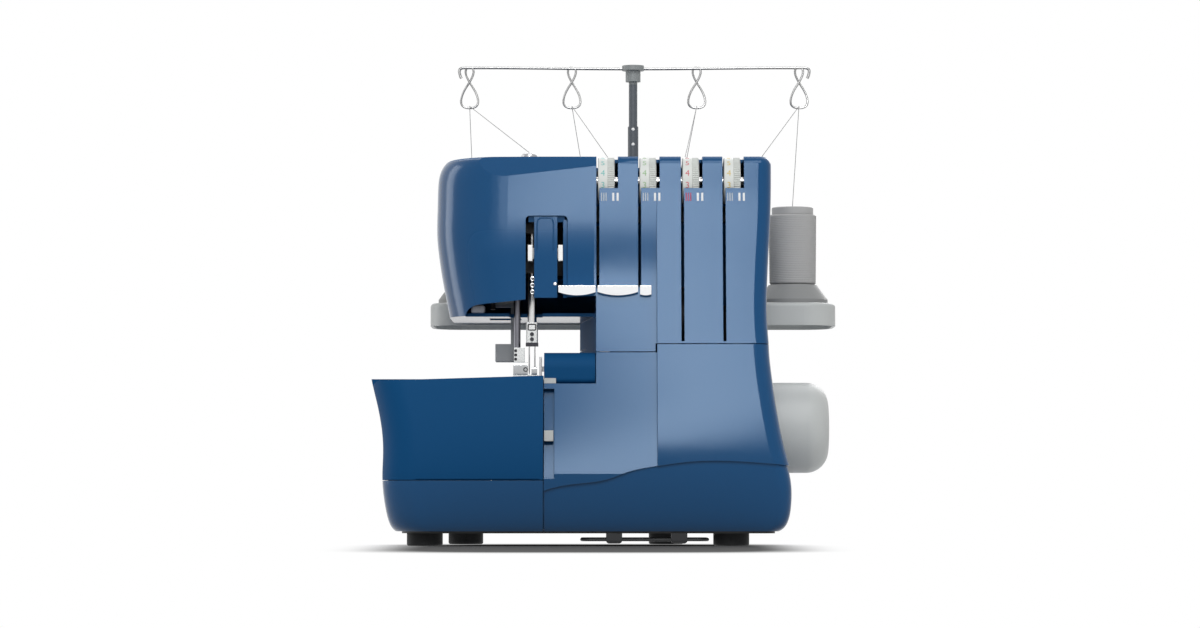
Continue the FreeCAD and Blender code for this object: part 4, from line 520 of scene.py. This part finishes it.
# Marks under the dials.
# Three thin lines and two bars beside each thread slot, printed on the casing.
# The ink is pale, apart from the red lines of the third set.
MARK_TOP = 0.2655
MARK_HEIGHT = 0.0062
MARK_INK = 0.00006
HATCH_COUNT = 3
HATCH_START = -0.0040
HATCH_STEP = 0.0017
HATCH_WIDTH = 0.0008
BAR_STARTS = (0.0044, 0.0077)
BAR_WIDTH = 0.0016
MARK_PALE = (0.42, 0.46, 0.50)
MARK_RED = (0.42, 0.05, 0.10)
MARK_COLOURS = (MARK_PALE, MARK_PALE, MARK_RED, MARK_PALE)
white_ink = moulded("white_ink", colour=(0.66, 0.67, 0.68), roughness=0.5, drift=0.02, highlight_and_rub=0.0)


def front_tree(node):
    """Faces of one node of the part, to find where its surface lies."""
    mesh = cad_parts[node].data
    corners = [v.co for v in mesh.vertices]
    return BVHTree.FromPolygons(corners, [p.vertices for p in mesh.polygons])


def front_at(surface, x, z):
    """Depth of the first surface that is met from the front."""
    return surface.ray_cast(Vector((x, -1.0, z)), Vector((0.0, 1.0, 0.0)))[0].y


def print_bars(surface, lefts, width):
    """Thin inked bars of one width that lie on the casing."""
    work = bmesh.new()
    low = MARK_TOP - MARK_HEIGHT
    for left in lefts:
        right = left + width
        corners = [(left, low), (right, low), (right, MARK_TOP), (left, MARK_TOP)]
        fronts = {corner: front_at(surface, *corner) for corner in corners}
        prism(work, corners, -MARK_INK, MARK_INK, lambda u, v, w: (u, fronts[(u, v)] + w, v))
    return work


casing_front = front_tree("upper_front_cover")
for number, colour in enumerate(MARK_COLOURS, 1):
    low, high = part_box("tension_dial_%d" % number)
    middle = (low[0] + high[0]) / 2.0
    lines = [middle + HATCH_START + i * HATCH_STEP for i in range(HATCH_COUNT)]
    bars = [middle + start for start in BAR_STARTS]
    ink = moulded("mark_ink_%d" % number, colour, roughness=0.5, drift=0.02, highlight_and_rub=0.0)
    put("dial_hatch_%d" % number, print_bars(casing_front, lines, HATCH_WIDTH), ink, "machine")
    put("dial_bars_%d" % number, print_bars(casing_front, bars, BAR_WIDTH), white_ink, "machine")


# Take-up and its guard.
# A white moulded lever shows in two slots; a blue tongue with a raised arch hangs between them.
# Wire rings on the tongue's edge and a bead beside it lead the threads.
ARCH_HALF = 0.0062
ARCH_MIDDLE = -0.0487
ARCH_FOOT = 0.2225
ARCH_SPRING = 0.2375
ARCH_TOP = 0.2462
ARCH_SHOULDER = 0.98
ARCH_CROWN = 0.0002
ARCH_WIRE = 0.00055
RING_PLACES = (0.2005, 0.1955, 0.1905)
RING_RADIUS = 0.0014
RING_WIRE = 0.0004
RING_INSET = 0.001
RING_STEPS = 20
TONGUE_LEFT = -0.057
BEAD_PLACE = (-0.0412, 0.1965)
BEAD_RADIUS = 0.0017
BEAD_SINK = 0.0003
BEAD_FOOT = 0.0004
BEAD_STEPS = 6
BEAD_SIDES = 24
SPLINE_STEPS = 12
WIRE_SIDES = 8
white_plastic = moulded("white_plastic", colour=(0.8, 0.8, 0.79), roughness=0.35, drift=0.01,
                        highlight_and_rub=0.1)
chrome = metal("bright_chrome", colour=(0.9, 0.91, 0.92), roughness=0.08, spread=0.02,
               depth=0.000004)
dress(white_plastic, "take_up_lever")
dress(blue_casing, "take_up_cover")


def spline_points(control, closed=False):
    """Points along the smooth line of a route's control points."""
    curve = bpy.data.curves.new("route", "CURVE")
    curve.dimensions = "3D"
    curve.resolution_u = SPLINE_STEPS
    line = curve.splines.new("NURBS")
    line.points.add(len(control) - 1)
    for point, place in zip(line.points, control):
        point.co = (*place, 1.0)
    line.use_cyclic_u = closed
    line.order_u = 3
    line.use_endpoint_u = not closed
    route = bpy.data.objects.new("route", curve)
    mesh = bpy.data.meshes.new_from_object(route)
    points = [v.co.copy() for v in mesh.vertices]
    bpy.data.objects.remove(route)
    bpy.data.curves.remove(curve)
    bpy.data.meshes.remove(mesh)
    return points


def tube(work, points, radius, sides, closed=False):
    """Round wire along points, capped at its ends."""
    count = len(points)
    side = None
    rings = []
    for i, here in enumerate(points):
        ahead = points[(i + 1) % count] if closed or i < count - 1 else here
        back = points[i - 1] if closed or i else here
        along = (ahead - back).normalized()
        if side is None:
            side = along.orthogonal().normalized()
        side = (side - along * side.dot(along)).normalized()
        across = along.cross(side)
        rings.append([work.verts.new(here + radius * (math.cos(a) * side + math.sin(a) * across))
                      for a in turns(sides)])
    pairs = list(zip(rings, rings[1:]))
    if closed:
        pairs.append((rings[-1], rings[0]))
    for low_ring, high_ring in pairs:
        for k in range(sides):
            j = (k + 1) % sides
            work.faces.new((low_ring[k], low_ring[j], high_ring[j], high_ring[k]))
    if not closed:
        work.faces.new(list(reversed(rings[0])))
        work.faces.new(rings[-1])


def wire(points, radius, sides=WIRE_SIDES, closed=False):
    """One round wire as a bmesh of its own."""
    work = bmesh.new()
    tube(work, points, radius, sides, closed)
    return work


def upright_ring(x, y, z, radius, steps):
    """Points of a circle that faces the front."""
    return [Vector((x + radius * math.cos(a), y, z + radius * math.sin(a))) for a in turns(steps)]


def round_y(axis_x, axis_z):
    """Places round an axis that runs from front to back."""
    def placed(along, radius, turn):
        return axis_x + radius * math.cos(turn), along, axis_z + radius * math.sin(turn)
    return placed


tongue_front = front_tree("take_up_cover")
arch_plan = [(-1.0, ARCH_FOOT), (-1.0, ARCH_SPRING), (-ARCH_SHOULDER, ARCH_TOP),
             (0.0, ARCH_TOP + ARCH_CROWN),
             (ARCH_SHOULDER, ARCH_TOP), (1.0, ARCH_SPRING), (1.0, ARCH_FOOT)]
arch = []
for share, height in arch_plan:
    x = ARCH_MIDDLE + share * ARCH_HALF
    arch.append((x, front_at(tongue_front, x, height), height))
put("tongue_arch", wire(spline_points(arch), ARCH_WIRE), blue_casing, "machine")

work = bmesh.new()
ring_x = TONGUE_LEFT - RING_RADIUS + RING_WIRE / 2.0
for height in RING_PLACES:
    ring_y = front_at(tongue_front, TONGUE_LEFT + RING_INSET, height) + RING_INSET
    circle = upright_ring(ring_x, ring_y, height, RING_RADIUS, RING_STEPS)
    tube(work, circle, RING_WIRE, WIRE_SIDES, closed=True)
put("tongue_rings", work, chrome, "machine")

bead_front = front_at(tongue_front, *BEAD_PLACE)
quarter = [math.pi / 2.0 * k / BEAD_STEPS for k in range(BEAD_STEPS)]
bead_outline = [(bead_front + BEAD_FOOT, 0.0)]
bead_outline += [(bead_front + BEAD_SINK - BEAD_RADIUS * math.sin(a), BEAD_RADIUS * math.cos(a))
                 for a in quarter]
bead_outline.append((bead_front + BEAD_SINK - BEAD_RADIUS, 0.0))
work = bmesh.new()
turned(work, bead_outline, BEAD_SIDES, round_y(*BEAD_PLACE))
put("thread_bead", work, chrome, "machine")


# Thread guides.
# A bent chrome strip on the front, and steel eyelets on top and behind, screwed to the casing.
tool_steel = metal("tool_steel", colour=(0.4, 0.4, 0.41), roughness=0.3)
dress(chrome, "chrome_thread_guide")
dress(tool_steel, "thread_eyelets")


# Needle bar, clamp and needles.
# A ground steel bar carries a bright steel clamp, which holds two needles with black screws.
# A square wire frame and a small black shelf sit on the clamp's front.
FRAME_HALF = (0.0029, 0.0022)
FRAME_MIDDLE = (-0.0590, 0.1650)
FRAME_WIRE = 0.0005
FRAME_SQUARE = 0.3
FRAME_STEPS = 40
FRAME_SINK = 0.00005
SHELF = ((-0.0637, -0.0686), (-0.0543, -0.0793))
SHELF_LEVELS = (0.1507, 0.15325)
bright_steel = metal("bright_steel", colour=(0.50, 0.51, 0.51), roughness=0.28)
dress(ground_steel, "needle_bar", "needles")
dress(bright_steel, "needle_clamp")
dress(blackened_steel, "clamp_screws")

clamp_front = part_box("needle_clamp")[0][1]
square = []
for turn in turns(FRAME_STEPS):
    u, v = (math.copysign(abs(part) ** FRAME_SQUARE, part)
            for part in (math.cos(turn), math.sin(turn)))
    square.append(Vector((FRAME_MIDDLE[0] + u * FRAME_HALF[0], clamp_front + FRAME_SINK,
                          FRAME_MIDDLE[1] + v * FRAME_HALF[1])))
put("clamp_frame", wire(square, FRAME_WIRE, closed=True), blackened_steel, "needle_unit")

work = bmesh.new()
(left, rear), (right, front) = SHELF
prism(work, [(left, rear), (left, front), (right, front), (right, rear)], *SHELF_LEVELS,
      lambda u, v, w: (u, v, w))
put("clamp_shelf", work, blackened_steel, "needle_unit")


# Presser bar, foot and lifter.
# A dark steel bar carries the foot of bright steel; the lifter is a grey moulding.
# The foot's toes turn up in front, and three black screws and a wire ring sit on it.
SOLE_TOP = 0.1284
TOE_OUTLINE = ((-0.0988, 0.0), (-0.0993, 0.0072), (-0.0991, 0.0085), (-0.0985, 0.0092),
               (-0.0978, 0.0092), (-0.0973, 0.0085), (-0.0972, 0.0072), (-0.0967, 0.0))
TOES = ((-0.0727, -0.0618, 1.0), (-0.0590, -0.0548, 0.62))
TOE_RING = (-0.0634, -0.0993, 0.1323)
TOE_RING_RADIUS = 0.0014
TOE_RING_WIRE = 0.0004
TOE_RING_STEPS = 24
ANKLE_FRONT = -0.079
ANKLE_SCREWS = (0.1472, 0.1440, 0.1408)
ANKLE_SCREW_X = -0.0713
ANKLE_SCREW_RADIUS = 0.0011
ANKLE_SCREW_HEIGHT = 0.0008
ANKLE_SCREW_SLOT = 0.0004
dark_steel = metal("dark_steel", colour=(0.16, 0.16, 0.18), roughness=0.32)
foot_steel = metal("foot_steel", colour=(0.42, 0.43, 0.44), roughness=0.16, spread=0.02)
mid_grey = moulded("mid_grey", colour=(0.34, 0.355, 0.37), roughness=0.42, highlight_and_rub=0.2)
dress(dark_steel, "presser_bar")
dress(bright_steel, "presser_foot")
dress(mid_grey, "presser_lifter")

work = bmesh.new()
for left, right, share in TOES:
    toe = [(y, SOLE_TOP + share * rise) for y, rise in TOE_OUTLINE]
    prism(work, toe, left, right, lambda u, v, w: (w, u, v))
put("presser_toes", work, foot_steel, "presser")

circle = upright_ring(*TOE_RING, TOE_RING_RADIUS, TOE_RING_STEPS)
put("toe_ring", wire(circle, TOE_RING_WIRE, closed=True), blackened_steel, "presser")

work = bmesh.new()
for screw_z in ANKLE_SCREWS:
    slotted_head(work, ANKLE_SCREW_RADIUS, ANKLE_SCREW_HEIGHT, ANKLE_SCREW_SLOT,
                 lambda u, v, w: (ANKLE_SCREW_X + u, ANKLE_FRONT - w, screw_z + v))
put("ankle_screws", work, blackened_steel, "presser")


# Loopers, knives and feed.
# Hooks and blades of hardened tool steel work round the needle plate.
# The plate, fixed to the arm, and the feed dog in its slots are bright steel.
dress(tool_steel, "upper_looper", "lower_looper", "upper_knife", "lower_knife")
dress(bright_steel, "needle_plate", "feed_dog")


# Lamp.
# A smoky moulded lens, clipped in under the head, covers the bulb.
lamp_cover = moulded("lamp_cover", colour=(0.26, 0.27, 0.30), roughness=0.25)
dress(lamp_cover, "lamp_lens")


# Spool stand with its pole.
# A grey moulded tray carries four pins with holders, and the two drawn tubes of the mast.
# Two spring buttons show where the tubes lock.
POLE_PLACE = (0.019, 0.092)
POLE_RADIUS = 0.0042
COLLAR_LOW = 0.3668
COLLAR_GREY = (0.22, 0.235, 0.235)
BUTTON_LEVELS = (0.3306, 0.3186)
BUTTON_RADIUS = 0.0014
BUTTON_DOME = ((0.0004, 0.0), (0.0004, 1.0), (-0.0002, 0.9), (-0.0006, 0.5), (-0.0007, 0.0))
BUTTON_SIDES = 20
holder_grey = moulded("holder_grey", colour=(0.24, 0.245, 0.245), roughness=0.42, gloss=0.25,
                      drift=0.02, highlight_and_rub=0.2)
pole_grey = moulded("pole_grey", colour=(0.085, 0.095, 0.108), roughness=0.38, drift=0.02,
                    highlight_and_rub=0.1, upper=(COLLAR_LOW, COLLAR_GREY))
dress(grey_casing, "spool_stand")
dress(holder_grey, "spool_pins", "cone_holders")
dress(pole_grey, "pole_lower", "pole_upper")
pole_x, pole_y = POLE_PLACE
work = bmesh.new()
button_outline = [(pole_y - POLE_RADIUS + back, share * BUTTON_RADIUS)
                  for back, share in BUTTON_DOME]
for level in BUTTON_LEVELS:
    turned(work, button_outline, BUTTON_SIDES, round_y(pole_x, level))
put("pole_buttons", work, white_plastic, "machine")


# Guide bar with its hooks.
# One bent steel wire lies across the pole's cap.
# Four figure-of-eight wire hooks are welded to it.
BAR_LEVEL = 0.3804
BAR_SAG = 0.0012
BAR_ENDS = (-0.120, 0.160)
BAR_WIRE = 0.0012
BAR_SIDES = 12
BAR_CURL = ((0.0014, -0.0084), (0.0, -0.006), (-0.0004, 0.0), (0.008, 0.0), (0.04, 0.0))
HOOK_PLACES = (-0.112, -0.03, 0.07, 0.152)
HOOK_LOW = 0.348
HOOK_SHOULDER = HOOK_LOW + 0.0105
HOOK_HALF = 0.0068
HOOK_EYE = 0.0032
EYE_LOW = BAR_LEVEL - 0.0069
EYE_TOP = BAR_LEVEL + 0.0003
HOOK_WIRE = 0.0009
HOOK_SIDES = 10
HOOK_CROSS = 0.001
HOOK_PLAN = ((-HOOK_HALF, -1, HOOK_SHOULDER), (-HOOK_HALF, 0, HOOK_LOW), (HOOK_HALF, 0, HOOK_LOW),
             (HOOK_HALF, 1, HOOK_SHOULDER), (-HOOK_EYE, 1, EYE_LOW), (-HOOK_EYE, 0, EYE_TOP),
             (HOOK_EYE, 0, EYE_TOP), (HOOK_EYE, -1, EYE_LOW))
drawn_wire = metal("drawn_wire", colour=(0.30, 0.30, 0.30), roughness=0.3)
bar_left, bar_right = BAR_ENDS
bar_route = [(bar_left + inwards, pole_y, BAR_LEVEL + rise) for inwards, rise in BAR_CURL]
bar_route.append((pole_x, pole_y, BAR_LEVEL - BAR_SAG))
bar_route += [(bar_right - inwards, pole_y, BAR_LEVEL + rise)
              for inwards, rise in reversed(BAR_CURL)]
guide_wire = put("guide_wire", wire(spline_points(bar_route), BAR_WIRE, BAR_SIDES), drawn_wire,
                 "mast")
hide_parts("thread_guide_bar")
for number, hook_x in enumerate(HOOK_PLACES, 1):
    route = [(hook_x + u, pole_y + side * HOOK_CROSS, level) for u, side, level in HOOK_PLAN]
    loop = wire(spline_points(route, closed=True), HOOK_WIRE, HOOK_SIDES, closed=True)
    hook = put("thread_hook_%d" % number, loop, drawn_wire, "mast")
    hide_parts("thread_guide_bar")


# Thread cones.
# Grey sewing thread wound in close turns on a moulded tube, whose collar stands out on top.
CONE_PLACES = (-0.1085, -0.0165, 0.0545, 0.1465)
CONE_FOOT = 0.206
CONE_TOP = 0.268
CONE_COLLAR = 0.006
CONE_RADIUS = 0.0190
CONE_SPREAD = 0.0005
CONE_BORE = 0.008
CONE_SIDES = 64
COLLAR_RADIUS = 0.0166
COLLAR_GAP = 0.0001
COLLAR_ROUND = 0.0006
BORE_ROUND = 0.001
TUBE_RADIUS = CONE_BORE + 0.0029
WOUND_BORE = CONE_BORE + 0.003
WOUND_GAP = 0.0004
WOUND_ROUND = 0.001
WOUND_FALL = 0.0012
TURN_PITCH = 0.0014
TURN_DEPTH = 0.00012
TURN_STEPS = 5
TURN_MARGIN = 0.0009
wound_thread = moulded("wound_thread", colour=(0.36, 0.36, 0.36), roughness=0.65, gloss=0.15,
                       grain=2600.0, depth=0.00015, drift=0.04, highlight_and_rub=0.0)
cone_tube = moulded("cone_tube", colour=(0.36, 0.36, 0.36), roughness=0.45, drift=0.02, highlight_and_rub=0.2)
wound_low, wound_high = CONE_FOOT + WOUND_GAP, CONE_TOP - CONE_COLLAR
wound_height = wound_high - wound_low - 2.0 * WOUND_ROUND
turn_count = int(wound_height / TURN_PITCH) * TURN_STEPS


def turn_ripple(along, turn):
    """Rise of the wound turns, which climb like a screw."""
    inside = wound_low + TURN_MARGIN < along < wound_high - TURN_MARGIN
    return TURN_DEPTH * math.sin(2.0 * math.pi * along / TURN_PITCH - turn) if inside else 0.0


def round_z(axis_x, axis_y):
    """Places round an upright axis."""
    def placed(along, radius, turn):
        return axis_x + radius * math.cos(turn), axis_y + radius * math.sin(turn), along
    return placed


wound_outline = [(wound_low, WOUND_BORE), (wound_low, CONE_RADIUS - CONE_SPREAD - WOUND_ROUND)]
for i in range(turn_count + 1):
    share = i / turn_count
    wound_outline.append((wound_low + WOUND_ROUND + wound_height * share,
                          CONE_RADIUS - CONE_SPREAD * (1.0 - share)))
wound_outline += [(wound_high, CONE_RADIUS - WOUND_FALL), (wound_high, WOUND_BORE)]
collar_low = wound_high + COLLAR_GAP
tube_outline = [(CONE_FOOT, CONE_BORE), (CONE_FOOT, TUBE_RADIUS), (collar_low, TUBE_RADIUS),
                (collar_low, COLLAR_RADIUS), (CONE_TOP - COLLAR_ROUND, COLLAR_RADIUS),
                (CONE_TOP, COLLAR_RADIUS - COLLAR_ROUND), (CONE_TOP, CONE_BORE + BORE_ROUND),
                (CONE_TOP - BORE_ROUND, CONE_BORE)]
for number, cone_x in enumerate(CONE_PLACES, 1):
    around = round_z(cone_x, pole_y)
    work = bmesh.new()
    turned(work, wound_outline, CONE_SIDES, around, turn_ripple, closed=True)
    winding = put("cone_winding_%d" % number, work, wound_thread, "machine")
    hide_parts("thread_cones")
    work = bmesh.new()
    turned(work, tube_outline, CONE_SIDES, around, closed=True)
    core = put("cone_tube_%d" % number, work, cone_tube, "machine")
    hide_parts("thread_cones")


# Threads.
# Grey polyester thread runs taut from each cone up to its hook and down to its guide.
# Each run is one straight thread.
THREAD_WIDTH = 0.0005
HOOK_FRONT = 0.09055
HOOK_REAR = 0.09345
HOOK_LEVEL = 0.34945
CONE_LEVEL = 0.2683
THREAD_ENDS = ((-0.061, -0.0796, 0.2974), (-0.0017, -0.0816, 0.29385), (0.057, -0.0816, 0.29385),
               (0.104, 0.047, 0.283))
thread_finish = moulded("thread_line", colour=(0.3, 0.3, 0.3), roughness=0.7, gloss=0.1,
                        grain=4000.0, highlight_and_rub=0.0)


def thread_run(name, start, end, node):
    """Taut thread between two points, in place of a node of the part."""
    middle = tuple((a + b) / 2.0 for a, b in zip(start, end))
    path = spline_points((start, middle, end))
    piece = put(name, wire(path, THREAD_WIDTH / 2.0), thread_finish, "machine")
    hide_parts(node)
    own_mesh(piece)


for number, (cone_x, hook_x, end) in enumerate(zip(CONE_PLACES, HOOK_PLACES, THREAD_ENDS), 1):
    thread_run("thread_rear_%d" % number, (cone_x, pole_y, CONE_LEVEL),
               (hook_x, HOOK_REAR, HOOK_LEVEL), "thread_rear_runs")
    thread_run("thread_front_%d" % number, (hook_x, HOOK_FRONT, HOOK_LEVEL), end,
               "thread_front_runs")


# Studio.
# White surround, and a floor with a painted shadow: grey where the soft shadow lies, white beyond.
# Soft lamps stand in front, above, on the left and behind; the camera looks up a little from low.
FLOOR_SIZE = 12.0
# Grey of the painted shadow on the floor.
PAINTED_SHADOW_GREY = (0.11, 0.11, 0.11, 1.0)
FLOOR_WHITE = (0.86, 0.86, 0.86, 1.0)
WHITE = (1.0, 1.0, 1.0, 1.0)
SHADOW_MIDDLE = (-0.015, -0.25, 0.0)
SHADOW_SIZE = (0.195, 0.34, 1.0)
SHADOW_FADE = (0.6, 1.0)
FOURTH_ROOT = 0.25
AMBIENT = 0.3
LAMP_AIM = (0.0, 0.0, 0.2)
CAMERA_PLACE = (-0.0075, -3.137, 0.034)
CAMERA_TILT = math.radians(2.64)
CAMERA_LENS = 121.3
CAMERA_SENSOR = 36.0
floor_mesh = bpy.data.meshes.new("floor")
half = FLOOR_SIZE / 2.0
floor_mesh.from_pydata([(-half, -half, 0), (half, -half, 0), (half, half, 0), (-half, half, 0)],
                       [], [(0, 1, 2, 3)])
floor = bpy.data.objects.new("floor", floor_mesh)
bpy.context.scene.collection.objects.link(floor)


def eye_rays(tree, straight=None):
    """1 for rays that show the surround: seen straight, mirrored or through glass.

    straight stands in for the rays that come straight from the camera.
    """
    rays = add(tree, "LightPath").outputs
    total = straight or rays["Is Camera Ray"]
    for kind in ("Is Glossy Ray", "Is Transmission Ray"):
        total = worked(tree, "MAXIMUM", total, rays[kind])
    return total


floor_finish, tree, shader = start_finish("floor_with_painted_shadow")
place = add(tree, "NewGeometry").outputs["Position"]
offset = joined(tree, "SUBTRACT", place, SHADOW_MIDDLE)["Vector"]
scaled = joined(tree, "DIVIDE", offset, SHADOW_SIZE)["Vector"]
squared = joined(tree, "MULTIPLY", scaled, scaled)["Vector"]
fourth = joined(tree, "DOT_PRODUCT", squared, squared)["Value"]
away = worked(tree, "POWER", fourth, FOURTH_ROOT)
fade = ramp(tree, away, *SHADOW_FADE, interpolation_type="SMOOTHSTEP")
seen = worked(tree, "MULTIPLY", fade, add(tree, "LightPath").outputs["Is Camera Ray"])
# The floor is painted grey inside the rounded patch, a painted shadow, and white beyond it.
fill(tree, shader, {"Base Color": mix_colours(tree, fade, PAINTED_SHADOW_GREY, FLOOR_WHITE),
                    "Roughness": 0.8, "Specular IOR Level": 0.0})
glow = add(tree, "Emission", {"Color": WHITE, "Strength": 1.0})
both = add(tree, "MixShader", {"Fac": eye_rays(tree, seen), 1: shader.outputs["BSDF"],
                               2: glow.outputs["Emission"]})
fill(tree, tree.nodes["Material Output"], {"Surface": both.outputs["Shader"]})
floor_mesh.materials.append(floor_finish)

world = bpy.data.worlds.new("studio")
bpy.context.scene.world = world
world.use_nodes = True
tree = world.node_tree
dim = tree.nodes["Background"]
fill(tree, dim, {"Color": WHITE, "Strength": AMBIENT})
bright = add(tree, "Background", {"Color": WHITE, "Strength": 1.0})
both = add(tree, "MixShader", {"Fac": eye_rays(tree), 1: dim.outputs["Background"],
                               2: bright.outputs["Background"]})
fill(tree, tree.nodes["World Output"], {"Surface": both.outputs["Shader"]})


def soft_lamp(name, place, width, height, power, aim=LAMP_AIM, lean=0.0):
    """Broad lamp that faces aim; lean turns it about the line to there."""
    lamp = bpy.data.lights.new(name, "AREA")
    lamp.shape = "RECTANGLE"
    lamp.size = width
    lamp.size_y = height
    lamp.energy = power
    holder = bpy.data.objects.new(name, lamp)
    bpy.context.scene.collection.objects.link(holder)
    holder.location = place
    level = (Vector(aim) - Vector(place)).to_track_quat("-Z", "Y")
    holder.rotation_euler = (level @ Quaternion((0.0, 0.0, 1.0), lean)).to_euler()


soft_lamp("key_lamp", (0.09, -2.0, 1.0), width=0.30, height=0.74, power=10.0,
          lean=math.radians(-20.0))
soft_lamp("near_lamp", (-0.40, -2.0, 0.80), width=0.45, height=0.5, power=3.0)
soft_lamp("far_lamp", (-0.85, -2.0, 0.80), width=0.45, height=0.5, power=0.6)
soft_lamp("fill_lamp", (0.3, -1.5, 1.9), width=1.4, height=1.0, power=27.0)
soft_lamp("top_lamp", (0.0, 0.9, 1.5), width=1.6, height=1.0, power=11.0, aim=(0.0, 0.0, 0.1))
soft_lamp("left_lamp", (-1.5, 0.5, 0.6), width=0.5, height=1.2, power=6.0)
soft_lamp("rear_lamp", (0.5, 1.9, 1.1), width=1.2, height=0.9, power=12.0)

camera = bpy.data.cameras.new("camera")
camera.sensor_width = CAMERA_SENSOR
camera.lens = CAMERA_LENS
eye = bpy.data.objects.new("camera", camera)
bpy.context.scene.collection.objects.link(eye)
eye.location = CAMERA_PLACE
eye.rotation_euler = (math.pi / 2.0 + CAMERA_TILT, 0.0, 0.0)
bpy.context.scene.camera = eye
bpy.context.scene.view_settings.view_transform = "Standard"
